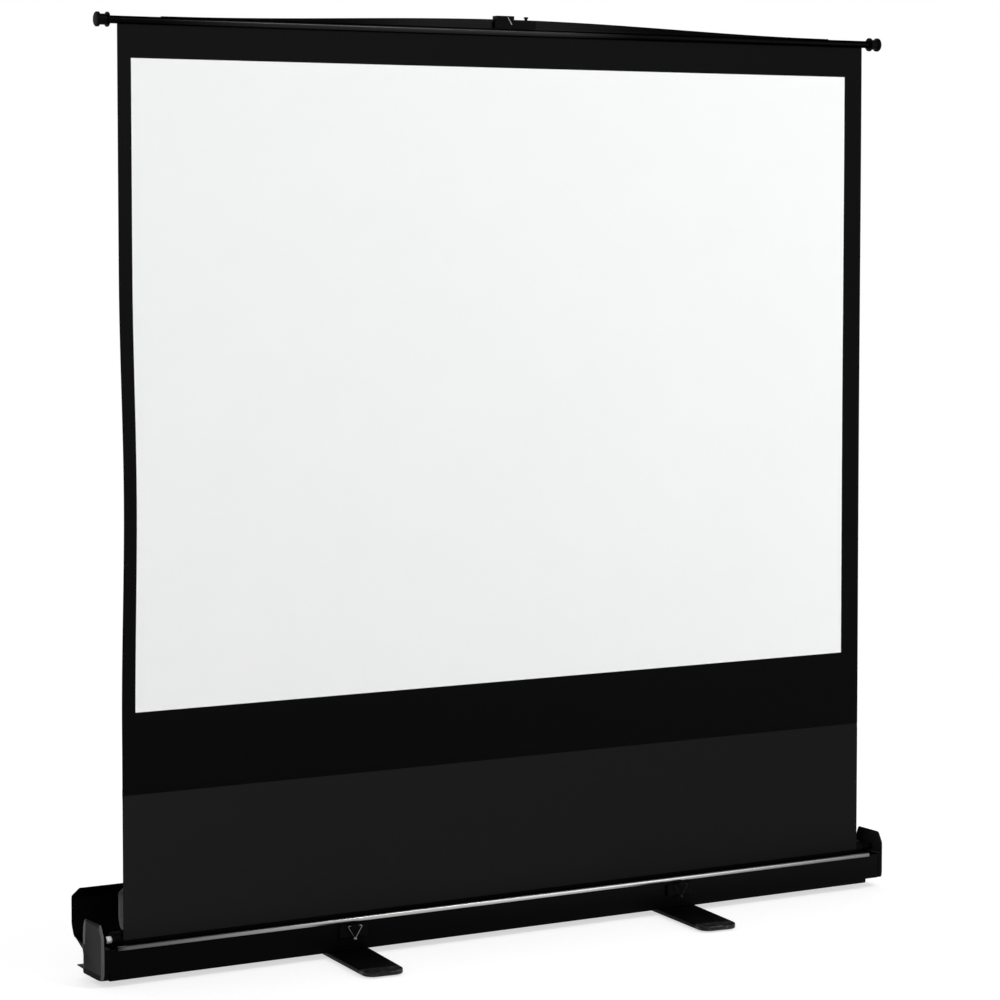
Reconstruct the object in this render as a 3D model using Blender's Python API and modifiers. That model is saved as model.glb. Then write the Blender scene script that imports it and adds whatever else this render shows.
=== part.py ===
"""Portable floor-standing projection screen, raised for use.

X runs along the screen, right as seen from the front. Y runs backwards and Z up.
The origin is on the floor, under the middle of the case. Metres throughout.
"""
import bpy
import bmesh
from math import pi, sin, cos, radians, atan2, hypot
from mathutils import Matrix, Vector

# Fits shared by every piece
FIT = 0.0003                 # between pieces that touch
SKIN = 0.0002                # a joined piece stays this far inside its neighbour's face
OVERRUN = 0.002              # how far a cut or a joined piece runs past a face
WELD = 0.00001               # points nearer than this are one point

# Picture and cloth
PICTURE_WIDTH = 1.626        # 80 inch picture, 4:3
PICTURE_HEIGHT = 1.2195
LEFT_BORDER = 0.0273
RIGHT_BORDER = 0.0441
TOP_BORDER = 0.0622
LOWER_BORDER = 0.155         # seam to the lower edge of the picture
EXTENSION_HEIGHT = 0.273     # roller axis to the seam
CLOTH_THICKNESS = 0.0006
CLOTH_SETBACK = 0.024        # front wall face to the cloth
PANEL_GAP = 0.00015          # half the joint between the picture and its border

# Feet
FOOT_SPACING = 0.762         # between the two foot pivots
FOOT_REACH = 0.2235          # pivot to tip
FOOT_ROOT_WIDTH = 0.087
FOOT_TIP_WIDTH = 0.062
FOOT_THICKNESS = 0.0097
FOOT_CORNER = 0.012
FOOT_EDGE = 0.0015
FOOT_LEAN = radians(-6.3)    # the feet stand a little off square
PAD_HEIGHT = 0.0027
PAD_RADIUS = 0.018
PAD_INSET = 0.030            # tip of the foot to the middle of its pad
RIVET_RADIUS = 0.004
RIVET_HEAD_RADIUS = 0.008
RIVET_HEAD_HEIGHT = 0.0035
RIVET_CHAMFER = 0.0012
RIVET_FOOT_RADIUS = 0.010
RIVET_FOOT_HEIGHT = 0.0015

# Case: tray, trim and end caps
CASE_DEPTH = 0.088           # over the front and rear walls
SHEET = 0.002                # tray and lid
FRONT_WALL_HEIGHT = 0.0592
REAR_WALL_HEIGHT = 0.0530
TRIM_HEIGHT = 0.0045         # bright lip on the front wall
TRIM_GRIP = 0.0027           # how far the lip reaches down the wall
TRIM_PROUD = 0.005
TRIM_BACK = 0.0025
TRIM_ROUND = 0.0012
CAP_THICKNESS = 0.016
CAP_HEIGHT = 0.1005
CAP_EDGE = 0.0008
CAP_CORNER_DEPTH = 0.011     # rounding of the lower front corner
CAP_CORNER_HEIGHT = 0.022
CAP_CORNER_STEPS = 6
CAP_FRONT_SLOPE_DEPTH = 0.014
CAP_FRONT_SLOPE_HEIGHT = 0.021
CAP_REAR_SETBACK = 0.006     # rear wall face to the cap's upper rear edge
CAP_REAR_SLOPE_DEPTH = 0.012
CAP_REAR_SLOPE_HEIGHT = 0.017
CAP_HEEL = 0.003             # slope at the rear lower corner
CAP_HEEL_PROUD = 0.0005
CAP_TAB_HEIGHT = 0.0065      # underside of the cap to its small rear tab
CAP_TAB_REACH = 0.024
CAP_TAB_TIP = 0.002
CAP_TAB_ROOT = 0.0055
CAP_TAB_SLOPE = 0.001
CAP_WAIST = 0.001            # the back stands in from the rear wall face
CAP_WING_TIP = 0.002         # thickness of the wing that the open lid rests on
CAP_WING_ROOT = 0.0125
CAP_WING_FLARE = 0.0075
CAP_WING_OUT = 0.0048
CAP_WING_SHARES = (0.02, 0.90)   # along the lid's lowest panel
SPIGOT_DEPTH = 0.010         # end cap into the tray
SPIGOT_DROP = 0.006          # top of the rear wall to the top of the spigot
CAP_RIB = 0.0017             # thickening of the cap inside its spigot

# Hinge
HINGE_OUT = 0.002            # rear wall face to the hinge axis
HINGE_RISE = 0.0045          # top of the rear wall to the hinge axis
KNUCKLE_RADIUS = 0.004
HINGE_PIN_RADIUS = 0.0015
HINGE_END_GAP = 0.002
KNUCKLE_TAB_INSET = 0.002
KNUCKLES = 9
LEAF_WIDTH = 0.014
LEAF_THICKNESS = 0.0012

# Lid as it stands open, from the hinge round to the free edge
LID_EDGE_OUT = 0.0047        # hinge axis to the edge of the sheet, backwards
LID_EDGE_DROP = 0.0021       # and downwards
LID_FLOOR_DEPTH = 0.0418
LID_FLOOR_RISE = 0.0070
LID_CORNER_DEPTH = 0.0100
LID_CORNER_RISE = 0.0201
LID_BACK_HEIGHT = 0.0523
LID_LIP_DEPTH = 0.0394
LID_LIP_RISE = 0.0224
FOAM_WIDTH = 0.028
FOAM_THICKNESS = 0.004
FOAM_INSET = 0.103           # end of the lid to the middle of its foam strip
FOAM_SHARES = (0.72, 0.75)   # start on the lowest panel and end on the lip

# Latches
LATCH_OFFSET = 0.378         # middle of the case to each latch
LATCH_BLOCK_WIDTH = 0.060
LATCH_BLOCK_DEPTH = 0.0057
LATCH_BLOCK_HEIGHT = 0.0245
LATCH_BLOCK_DROP = 0.0077    # top of the front wall to the top of the block
LATCH_EDGE = 0.0012
LUG_WIDTH = 0.016
LUG_RADIUS = 0.0035
BAIL_OUT = 0.0102            # back of the block to the bail's axis
BAIL_DROP = 0.0015           # top of the block to the bail's axis
BAIL_WIRE = 0.0010
BAIL_HALF_WIDTH = 0.0152
BAIL_FALL = 0.0250
BAIL_BEND = 0.0020
BALL_RADIUS = 0.0036
KEEPER_WIDTH = 0.024
KEEPER_LENGTH = 0.012
KEEPER_BASE = 0.0025
KEEPER_HEIGHT = 0.0060
KEEPER_HOOK = 0.0060
KEEPER_SLANT = 0.0010
KEEPER_SHARE = 0.88          # place along the lip of the lid

# Handle
HANDLE_WIDTH = 0.146         # between the middles of its mounts
HANDLE_DROP = 0.042
HANDLE_WIRE = 0.003
HANDLE_BEND = 0.009
HANDLE_START = 0.004         # end of the wire past the middle of its mount
HANDLE_STRAIGHT = 0.010
HANDLE_OUT = 0.0065          # back of the mount to the wire
MOUNT_WIDTH = 0.018
MOUNT_DEPTH = 0.0125
MOUNT_HEIGHT = 0.020
MOUNT_EDGE = 0.002
GRIP_RADIUS = 0.0075
GRIP_INSET = 0.004

# Roller
ROLLER_RISE = 0.069          # underside of the tray to the roller axis
ROLLER_RADIUS = 0.0155
ROLLER_WALL = 0.0015
ROLLER_MARGIN = 0.0133       # roller tube past the cloth's edge
ROLLER_END_GAP = 0.024       # roller tube to the end cap
WRAP_THICKNESS = 0.0008      # the few turns of cloth left on the roller
WRAP_GAP = 0.0004
PLUG_FLANGE = 0.004
PLUG_DEPTH = 0.018
AXLE_RADIUS = 0.004
COLLAR_RING_RADIUS = 0.0085  # ring on the axle that keeps the roller in its place
COLLAR_RING_WIDTH = 0.006
COLLAR_RING_GAP = 0.007      # end cap to the ring
AXLE_SEAT = 0.008            # axle into the end cap
AXLE_REACH = 0.040           # axle into the roller tube
SPRING_TURNS = 16
SPRING_STEPS = 12            # points in each turn
SPRING_WIRE = 0.0011
SPRING_RADIUS = 0.009
SPRING_INSET = 0.030
SPRING_LENGTH = 0.362
ARBOR_PAST = 0.020           # arbor past the end of the spring

# Batten
BATTEN_RADIUS = 0.0074
BATTEN_WALL = 0.0014
BATTEN_MARGIN = 0.0153       # batten tube past the cloth's edge
CROWN_MARGIN = 0.104         # end of the tube to the end of the stiffener
CROWN_RISE = 0.0166
CROWN_EDGE = 0.0010
CROWN_THICKNESS = 0.006
CROWN_STEPS = 36
KNOB_LENGTH = 0.034
KNOB_RADIUS = 0.014
KNOB_ROUND = 0.002
KNOB_RIM = 0.004
KNOB_SLOPE = 0.002
KNOB_FLANGE = 0.004          # end of the tube to the knob's inner flange
KNOB_FLANGE_WIDTH = 0.0026
KNOB_SPIGOT = 0.022
KNOB_END_SHARE = 0.80
KNOB_WAIST_SHARE = 0.74
KNOB_NECK_SHARE = 0.64

# Catch on the batten
CATCH_LEFT = 0.050
CATCH_RIGHT = 0.043
CATCH_FRONT = 0.0095
CATCH_BACK = 0.0145
CATCH_HEIGHT = 0.0140
STEP_LEFT = 0.045            # raised part of the catch
STEP_RIGHT = 0.006
STEP_FRONT = 0.0085
STEP_BACK = 0.0095
STEP_RISE = 0.0068
POCKET_WALL = 0.0050
POCKET_SIDE = 0.0075
POCKET_GAP = 0.0005          # round the tongue of the mast head
POCKET_ROOF = 0.0010
BATTEN_GAP = 0.0008          # catch and head to the batten tube
PIN_OFFSET = 0.031
PIN_SETBACK = 0.0088
PIN_RADIUS = 0.003
PIN_HEAD_RADIUS = 0.0046
PIN_HEAD_HEIGHT = 0.003
PIN_CHAMFER = 0.0008
PIN_TRAVEL = 0.003
PIN_FLOOR = 0.002

# Mast
MAST_WIDTH = 0.036           # lower tube along X
MAST_DEPTH = 0.018           # lower tube along Y
MAST_WALL = 0.0012
MAST_CORNER = 0.003
MAST_SETBACK = 0.050         # cloth to the middle of the mast
SLIDE_GAP = 0.0004           # between one mast tube and the next
LOWER_TOP = 0.680            # floor to the top of the lower tube
MIDDLE_TOP = 1.250           # floor to the top of the middle tube
TUBE_OVERLAP = 0.080
COLLAR_HEIGHT = 0.038
COLLAR_SIDE = 0.008
COLLAR_WALL = 0.0065
COLLAR_CORNER = 0.005
COLLAR_LIP = 0.004
EAR_OFFSET = 0.0085
EAR_THICKNESS = 0.005
EAR_REACH = 0.0125
EAR_HEIGHT = 0.013
EAR_DROP = 0.0015
CAM_RADIUS = 0.006
CAM_WIDTH = 0.011
CAM_PIN_RADIUS = 0.002
CAM_OUT = 0.0065             # back of the collar to the cam's axis
CAM_DROP = 0.008             # top of the collar to the cam's axis
LEVER_GAP = 0.001
LEVER_THICKNESS = 0.006
MOULDED_EDGE = 0.0012        # edges of the socket and the head
SOCKET_WIDTH = 0.060
SOCKET_FRONT = 0.018
SOCKET_HEIGHT = 0.041
SOCKET_FLOOR = 0.0032
BOLT_RISE = 0.022
BOLT_RADIUS = 0.003
BOLT_HEAD_RADIUS = 0.006
BOLT_HEAD_HEIGHT = 0.004
HEAD_DROP = 0.0237           # hem to the underside of the mast head
HEAD_WIDTH = 0.030
HEAD_DEPTH = 0.017
HEAD_HEIGHT = 0.022
HEAD_SPIGOT = 0.018
HEAD_SPIGOT_GAP = 0.0010     # a square spigot in a tube with round corners
ARM_HEIGHT = 0.0064
TONGUE_WIDTH = 0.020
TONGUE_DEPTH = 0.011
TONGUE_SETBACK = 0.0145      # cloth to the tongue
TONGUE_TOP = 0.030           # underside of the head to the top of its tongue

# Places that follow from them
FLOOR_GAP = PAD_HEIGHT + FOOT_THICKNESS + 2 * FIT
CLOTH_WIDTH = LEFT_BORDER + PICTURE_WIDTH + RIGHT_BORDER
CLOTH_HALF = CLOTH_WIDTH / 2
ROLLER_HALF = CLOTH_HALF + ROLLER_MARGIN
INNER_HALF = ROLLER_HALF + ROLLER_END_GAP
HALF = INNER_HALF + CAP_THICKNESS
BATTEN_HALF = CLOTH_HALF + BATTEN_MARGIN
CROWN_HALF = BATTEN_HALF - CROWN_MARGIN
FRONT = -CASE_DEPTH / 2
REAR = CASE_DEPTH / 2
TRAY_FLOOR = FLOOR_GAP + SHEET
FRONT_TOP = FLOOR_GAP + FRONT_WALL_HEIGHT
REAR_TOP = FLOOR_GAP + REAR_WALL_HEIGHT
HINGE_Y = REAR + HINGE_OUT
HINGE_HEIGHT = REAR_TOP + HINGE_RISE
WRAP_RADIUS = ROLLER_RADIUS + WRAP_THICKNESS
CLOTH_Y = FRONT + CLOTH_SETBACK
ROLLER_Y = CLOTH_Y + CLOTH_THICKNESS / 2 + WRAP_GAP + WRAP_RADIUS
MAST_Y = CLOTH_Y + MAST_SETBACK
ROLLER_HEIGHT = FLOOR_GAP + ROLLER_RISE
SEAM_HEIGHT = ROLLER_HEIGHT + EXTENSION_HEIGHT
PICTURE_BOTTOM = SEAM_HEIGHT + LOWER_BORDER
PICTURE_TOP = PICTURE_BOTTOM + PICTURE_HEIGHT
HEM_HEIGHT = PICTURE_TOP + TOP_BORDER
BATTEN_HEIGHT = HEM_HEIGHT + BATTEN_RADIUS
CROWN_BASE = BATTEN_HEIGHT + BATTEN_RADIUS + FIT
CROWN_CREST = CROWN_BASE + CROWN_EDGE + CROWN_RISE
HEAD_BOTTOM = HEM_HEIGHT - HEAD_DROP
TONGUE_Y = CLOTH_Y + TONGUE_SETBACK

for leftover in list(bpy.data.objects):
    bpy.data.objects.remove(leftover, do_unlink=True)

scene_collection = bpy.context.scene.collection
parts = bpy.data.collections.new("projection_screen")
cutters = bpy.data.collections.new("cutters")
scene_collection.children.link(parts)
scene_collection.children.link(cutters)


def make_material(name, colour, roughness, metallic=0.0):
    """A Principled material in one plain colour."""
    material = bpy.data.materials.new(name)
    material.use_nodes = True
    shader = material.node_tree.nodes["Principled BSDF"]
    shader.inputs["Base Color"].default_value = (*colour, 1.0)
    shader.inputs["Roughness"].default_value = roughness
    shader.inputs["Metallic"].default_value = metallic
    return material


CASE_BLACK = make_material("black_anodised_case", (0.010, 0.010, 0.011), 0.42)
CAP_GREY = make_material("dark_grey_plastic", (0.028, 0.028, 0.029), 0.45)
BLACK_PLASTIC = make_material("black_plastic", (0.012, 0.012, 0.012), 0.40)
WHITE_NYLON = make_material("white_nylon", (0.75, 0.75, 0.73), 0.45)
RUBBER = make_material("black_rubber", (0.015, 0.015, 0.015), 0.80)
FOAM = make_material("grey_foam", (0.045, 0.045, 0.046), 0.90)
BRIGHT_STEEL = make_material("bright_steel", (0.62, 0.62, 0.61), 0.25, 1.0)
BARE_ALUMINIUM = make_material("bare_aluminium", (0.60, 0.60, 0.59), 0.35, 1.0)
BATTEN_BLACK = make_material("black_batten", (0.014, 0.014, 0.015), 0.30)
WHITE_CLOTH = make_material("matt_white_cloth", (0.86, 0.87, 0.865), 0.90)
BORDER_CLOTH = make_material("black_border_cloth", (0.006, 0.006, 0.006), 0.80)
LOWER_CLOTH = make_material("black_lower_cloth", (0.010, 0.010, 0.010), 0.85)


def take(obj, name, material):
    """Put an object among the parts under its own name and material."""
    for collection in list(obj.users_collection):
        collection.objects.unlink(obj)
    parts.objects.link(obj)
    obj.name = name
    obj.data.name = name
    obj.data.materials.clear()
    obj.data.materials.append(material)
    return obj


def sided(name, side):
    """The name of a piece with its hand, for a side of -1 or 1."""
    return name + ("_right" if side > 0 else "_left")


def apply_scale(obj, size):
    """Give a unit primitive its real size in the mesh itself."""
    for vertex in obj.data.vertices:
        vertex.co = Vector((vertex.co.x * size[0], vertex.co.y * size[1], vertex.co.z * size[2]))


def box(low, high):
    """A box between two corners."""
    low, high = Vector(low), Vector(high)
    bpy.ops.mesh.primitive_cube_add(size=1.0, location=(low + high) / 2)
    obj = bpy.context.object
    apply_scale(obj, high - low)
    return obj


def smooth(obj):
    """Smooth shading with sharp edges kept."""
    obj.data.shade_smooth()
    obj.data.set_sharp_from_angle(angle=radians(40))


def rod(radius, length, centre, axis='X', sides=24):
    """A solid cylinder along one axis."""
    bpy.ops.mesh.primitive_cylinder_add(vertices=sides, radius=radius, depth=length, location=centre)
    obj = bpy.context.object
    obj.rotation_euler = {'X': (0, pi / 2, 0), 'Y': (pi / 2, 0, 0), 'Z': (0, 0, 0)}[axis]
    smooth(obj)
    return obj


def mesh_of(curve_obj):
    """Turn a curve object into a mesh object with its caps welded."""
    evaluated = curve_obj.evaluated_get(bpy.context.evaluated_depsgraph_get())
    mesh = bpy.data.meshes.new_from_object(evaluated)
    obj = bpy.data.objects.new(curve_obj.name + "_mesh", mesh)
    parts.objects.link(obj)
    obj.matrix_world = curve_obj.matrix_world.copy()
    bpy.data.objects.remove(curve_obj, do_unlink=True)
    cleaner = bmesh.new()
    cleaner.from_mesh(mesh)
    bmesh.ops.remove_doubles(cleaner, verts=cleaner.verts, dist=WELD)
    bmesh.ops.recalc_face_normals(cleaner, faces=cleaner.faces)
    cleaner.to_mesh(mesh)
    cleaner.free()
    return obj


def flat_curve(rings, depth, closed=True):
    """A 2D curve of straight lines, extruded by depth about its own plane."""
    curve = bpy.data.curves.new("outline", 'CURVE')
    curve.dimensions = '2D'
    curve.fill_mode = 'BOTH' if closed else 'NONE'
    curve.extrude = depth / 2
    for ring in rings:
        spline = curve.splines.new('POLY')
        spline.points.add(len(ring) - 1)
        for point, (a, b) in zip(spline.points, ring):
            point.co = (a, b, 0, 1)
        spline.use_cyclic_u = closed
    obj = bpy.data.objects.new("outline", curve)
    scene_collection.objects.link(obj)
    bpy.context.view_layer.update()
    return obj


TURN = {'X': (pi / 2, 0, pi / 2), 'Y': (pi / 2, 0, 0), 'Z': (0, 0, 0)}


def slab(rings, depth, centre, axis):
    """An outline with depth along an axis: (Y, Z) outlines for X, (X, Z) for Y, (X, Y) for Z."""
    obj = mesh_of(flat_curve(rings, depth))
    obj.rotation_euler = TURN[axis]
    obj.location = centre
    return obj


def strip(points, length, centre_x, thickness):
    """A sheet that follows (Y, Z) points along its middle, runs along X and has a thickness."""
    obj = mesh_of(flat_curve([points], length, closed=False))
    obj.rotation_euler = TURN['X']
    obj.location = (centre_x, 0, 0)
    solid = obj.modifiers.new("thickness", 'SOLIDIFY')
    solid.thickness = thickness
    solid.offset = 0
    solid.use_even_offset = True
    return obj


def turned(profile, location, axis='X', steps=24):
    """A turned shape from (radius, height) points, top to bottom on its outer side."""
    mesh = bpy.data.meshes.new("turned")
    shape = bmesh.new()
    points = [shape.verts.new((radius, 0, height)) for radius, height in profile]
    for first, second in zip(points, points[1:]):
        shape.edges.new((first, second))
    if profile[0][0] > 0:
        shape.edges.new((points[-1], points[0]))
    shape.to_mesh(mesh)
    shape.free()
    obj = bpy.data.objects.new("turned", mesh)
    parts.objects.link(obj)
    obj.location = location
    obj.rotation_euler = {'X': (0, pi / 2, 0), 'Y': (-pi / 2, 0, 0), 'Z': (0, 0, 0)}[axis]
    screw = obj.modifiers.new("turn", 'SCREW')
    screw.steps = steps
    screw.render_steps = steps
    screw.use_merge_vertices = True
    screw.merge_threshold = WELD
    screw.use_smooth_shade = True
    return obj


def handed(profile, side):
    """A turned profile that points along +X, or its mirror image for the left side."""
    if side > 0:
        return profile
    return [(radius, -height) for radius, height in reversed(profile)]


def tube(outer, inner, half_length, centre, steps):
    """A hollow round tube along X."""
    return turned([(outer, half_length), (outer, -half_length), (inner, -half_length), (inner, half_length)],
                  centre, 'X', steps)


def combine(obj, tool, operation='DIFFERENCE'):
    """Cut an object with a tool, or join the tool to it, and keep the tool among the cutters."""
    for collection in list(tool.users_collection):
        collection.objects.unlink(tool)
    cutters.objects.link(tool)
    tool.hide_render = True
    tool.display_type = 'WIRE'
    boolean = obj.modifiers.new(operation.lower(), 'BOOLEAN')
    boolean.operation = operation
    boolean.object = tool
    return obj


def soften(obj, width, segments=2):
    """Round the sharper edges."""
    bevel = obj.modifiers.new("edges", 'BEVEL')
    bevel.width = width
    bevel.segments = segments
    bevel.limit_method = 'ANGLE'
    bevel.angle_limit = radians(40)
    return obj


def arc(centre, radius, start, end, count):
    """Points on an arc, angles in degrees."""
    angles = [radians(start + (end - start) * i / count) for i in range(count + 1)]
    return [(centre[0] + radius * cos(angle), centre[1] + radius * sin(angle)) for angle in angles]


def rounded_rectangle(width, height, radius):
    """A rectangle about the origin with round corners."""
    a, b = width / 2 - radius, height / 2 - radius
    return (arc((a, b), radius, 0, 90, 3) + arc((-a, b), radius, 90, 180, 3)
            + arc((-a, -b), radius, 180, 270, 3) + arc((a, -b), radius, 270, 360, 3))


def wire(points, radius, sides):
    """A round wire through points, with flat ends."""
    curve = bpy.data.curves.new("wire", 'CURVE')
    curve.dimensions = '3D'
    curve.bevel_depth = radius
    curve.bevel_resolution = sides
    curve.use_fill_caps = True
    spline = curve.splines.new('POLY')
    spline.points.add(len(points) - 1)
    for point, place in zip(spline.points, points):
        point.co = (*place, 1)
    obj = bpy.data.objects.new("wire", curve)
    scene_collection.objects.link(obj)
    bpy.context.view_layer.update()
    return mesh_of(obj)


def move_origin(obj, place):
    """Put an object's origin on its joint axis and leave its shape where it is."""
    bpy.context.view_layer.update()
    inverse = obj.matrix_world.to_3x3().inverted()
    shift = inverse @ (obj.matrix_world.translation - Vector(place))
    for vertex in obj.data.vertices:
        vertex.co += shift
    obj.location = place
    return obj


# Outline of the lid

def lid_profile():
    """The outer face of the open lid as (Y, Z) points, from the hinge to the free edge."""
    points = [(HINGE_Y + LID_EDGE_OUT, HINGE_HEIGHT - LID_EDGE_DROP)]
    for depth, rise in ((LID_FLOOR_DEPTH, LID_FLOOR_RISE), (LID_CORNER_DEPTH, LID_CORNER_RISE),
                        (0, LID_BACK_HEIGHT), (-LID_LIP_DEPTH, LID_LIP_RISE)):
        points.append((points[-1][0] + depth, points[-1][1] + rise))
    return points


def between(first, second, share):
    """A point on the line between two points."""
    return tuple(a + (b - a) * share for a, b in zip(first, second))


def lid_point(panel, share, inwards):
    """A point along one flat panel of the lid, and off its outer face towards the inside."""
    first, second = LID[panel:panel + 2]
    dy, dz = second[0] - first[0], second[1] - first[1]
    length = hypot(dy, dz)
    y, z = between(first, second, share)
    return (y - dz / length * inwards, z + dy / length * inwards)


def inset(points, distance):
    """An open line of points moved towards its left side by a distance."""
    moved = []
    for i, (y, z) in enumerate(points):
        normals = []
        for j in (i - 1, i):
            if 0 <= j < len(points) - 1:
                dy, dz = points[j + 1][0] - points[j][0], points[j + 1][1] - points[j][1]
                length = hypot(dy, dz)
                normals.append((-dz / length, dy / length))
        ny, nz = sum(n[0] for n in normals), sum(n[1] for n in normals)
        length = hypot(ny, nz)
        ny, nz = ny / length, nz / length
        stretch = 1 / (ny * normals[0][0] + nz * normals[0][1])
        moved.append((y + ny * distance * stretch, z + nz * distance * stretch))
    return moved


LID = lid_profile()
LID_FACE = LID[2][0] + FIT
HANDLE_HEIGHT = (LID[2][1] + LID[3][1]) / 2


# Case

def build_tray():
    """The channel that holds the roller: a floor plate, and the front and rear walls on its edges."""
    half, foot = INNER_HALF - FIT, TRAY_FLOOR + FIT
    floor = box((-half, FRONT, FLOOR_GAP), (half, REAR, TRAY_FLOOR))
    for side in (-1, 1):
        centre = (side * FOOT_SPACING / 2, 0, FLOOR_GAP)
        combine(floor, rod(RIVET_RADIUS, 2 * (SHEET + OVERRUN), centre, axis='Z', sides=20))
    take(floor, "base_tray", CASE_BLACK)
    take(box((-half, FRONT, foot), (half, FRONT + SHEET, FRONT_TOP)), "front_wall", CASE_BLACK)
    return take(box((-half, REAR - SHEET, foot), (half, REAR, REAR_TOP)), "rear_wall", CASE_BLACK)


def build_front_trim():
    """The bare lip that clips over the front wall."""
    low = FRONT_TOP - TRIM_GRIP
    high = low + TRIM_HEIGHT
    slot_top = FRONT_TOP + FIT
    front, back = FRONT - TRIM_PROUD, FRONT + SHEET + TRIM_BACK
    wall_front, wall_back = FRONT - FIT, FRONT + SHEET + FIT
    outline = ([(front, low), (wall_front, low), (wall_front, slot_top), (wall_back, slot_top),
                (wall_back, low), (back, low), (back, high)]
               + arc((front + TRIM_ROUND, high - TRIM_ROUND), TRIM_ROUND, 90, 180, 3))
    return take(slab([outline], 2 * (INNER_HALF - FIT), (0, 0, 0), 'X'), "front_trim", BARE_ALUMINIUM)


def cap_outline():
    """Side view of an end cap: tab and wing at the back, sloping corners at the top."""
    bottom, top = FLOOR_GAP, FLOOR_GAP + CAP_HEIGHT
    heel, waist = REAR + CAP_HEEL_PROUD, REAR - CAP_WAIST
    tab_low = bottom + CAP_TAB_HEIGHT
    tab_high = tab_low + CAP_TAB_ROOT
    wing_root, wing_tip = (lid_point(0, share, -FIT) for share in CAP_WING_SHARES)
    under_root, rear = wing_root[1] - CAP_WING_ROOT, REAR - CAP_REAR_SETBACK
    tab_tip = tab_low + CAP_TAB_SLOPE
    return ([(REAR - OVERRUN, bottom), (heel, bottom + CAP_HEEL), (heel, tab_low),
             (REAR + CAP_TAB_REACH, tab_tip), (REAR + CAP_TAB_REACH, tab_tip + CAP_TAB_TIP),
             (waist, tab_high), (waist, under_root - CAP_WING_FLARE), (REAR + CAP_WING_OUT, under_root),
             (wing_tip[0], wing_tip[1] - CAP_WING_TIP), wing_tip, wing_root, (rear, wing_root[1]),
             (rear, top - CAP_REAR_SLOPE_HEIGHT), (rear - CAP_REAR_SLOPE_DEPTH, top),
             (FRONT + CAP_FRONT_SLOPE_DEPTH, top), (FRONT, top - CAP_FRONT_SLOPE_HEIGHT)]
            + [(FRONT + CAP_CORNER_DEPTH * (1 + a), bottom + CAP_CORNER_HEIGHT * (1 + b))
               for a, b in arc((0, 0), 1, 180, 270, CAP_CORNER_STEPS)])


def build_end_cap(side):
    """A moulded end: plate, open spigot into the tray and a blind socket for the axle."""
    def across(start, end):
        return sorted((side * start, side * end))
    cap = slab([cap_outline()], CAP_THICKNESS, (side * (HALF - CAP_THICKNESS / 2), 0, 0), 'X')
    soften(cap, CAP_EDGE, 1)
    start, end = across(INNER_HALF - SPIGOT_DEPTH, INNER_HALF + SKIN)
    low, high = TRAY_FLOOR + FIT, REAR_TOP - SPIGOT_DROP
    wall = SHEET + FIT
    combine(cap, box((start, FRONT + wall, low), (end, REAR - wall, high)), 'UNION')
    start, end = across(INNER_HALF - SPIGOT_DEPTH - OVERRUN, INNER_HALF - CAP_RIB)
    wall += SHEET
    combine(cap, box((start, FRONT + wall, low + SHEET), (end, REAR - wall, high + OVERRUN)))
    depth = 2 * (AXLE_SEAT + OVERRUN)
    combine(cap, rod(AXLE_RADIUS + FIT, depth, (side * INNER_HALF, ROLLER_Y, ROLLER_HEIGHT), sides=20))
    return take(cap, sided("end_cap", side), CAP_GREY)


# Hinge

def knuckle_row(count, tab_low, tab_high):
    """Every second knuckle of the hinge: a bored barrel and its tab, repeated along the axis."""
    pitch = 2 * (INNER_HALF - HINGE_END_GAP) / KNUCKLES
    place = (-(count - 1) * pitch, HINGE_Y, HINGE_HEIGHT)
    bore = HINGE_PIN_RADIUS + FIT
    barrel = tube(KNUCKLE_RADIUS, bore, pitch / 2 - FIT, place, 12)
    reach = pitch / 2 - KNUCKLE_TAB_INSET
    combine(barrel, box((place[0] - reach, *tab_low), (place[0] + reach, *tab_high)), 'UNION')
    combine(barrel, rod(bore, 2 * pitch, place, sides=12))
    row = barrel.modifiers.new("row", 'ARRAY')
    row.count = count
    row.use_relative_offset = False
    row.use_constant_offset = True
    row.constant_offset_displace = (0, 0, 2 * pitch)
    return barrel


def build_case_leaf():
    """The fixed leaf of the long hinge, on the outside of the rear wall."""
    front, back = REAR + FIT, REAR + FIT + LEAF_THICKNESS
    top = HINGE_HEIGHT - KNUCKLE_RADIUS - FIT
    half = INNER_HALF - HINGE_END_GAP
    leaf = box((-half, front, top - LEAF_WIDTH), (half, back, top))
    knuckles = knuckle_row((KNUCKLES + 1) // 2, (front + SKIN, top - OVERRUN), (back - SKIN, HINGE_HEIGHT))
    combine(leaf, knuckles, 'UNION')
    return take(leaf, "hinge_leaf_case", CASE_BLACK)


def build_lid_leaf():
    """The moving leaf of the long hinge, under the lowest panel of the lid."""
    middle = -FIT - LEAF_THICKNESS / 2
    start = lid_point(0, 0, middle)
    end = lid_point(0, LEAF_WIDTH / hypot(LID_FLOOR_DEPTH, LID_FLOOR_RISE), middle)
    leaf = strip([start, end], 2 * (INNER_HALF - HINGE_END_GAP), 0, LEAF_THICKNESS)
    reach = LEAF_THICKNESS / 2 - SKIN
    knuckles = knuckle_row(KNUCKLES // 2, (HINGE_Y + HINGE_PIN_RADIUS, start[1] - reach),
                           (start[0] + OVERRUN, start[1] + reach))
    combine(leaf, knuckles, 'UNION')
    return take(leaf, "hinge_leaf_lid", CASE_BLACK)


def build_hinge_pin():
    """The long wire that every knuckle turns on."""
    length = 2 * (INNER_HALF - HINGE_END_GAP) - OVERRUN
    pin = rod(HINGE_PIN_RADIUS, length, (0, HINGE_Y, HINGE_HEIGHT), sides=12)
    return take(pin, "hinge_pin", BRIGHT_STEEL)


# Lid

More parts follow.
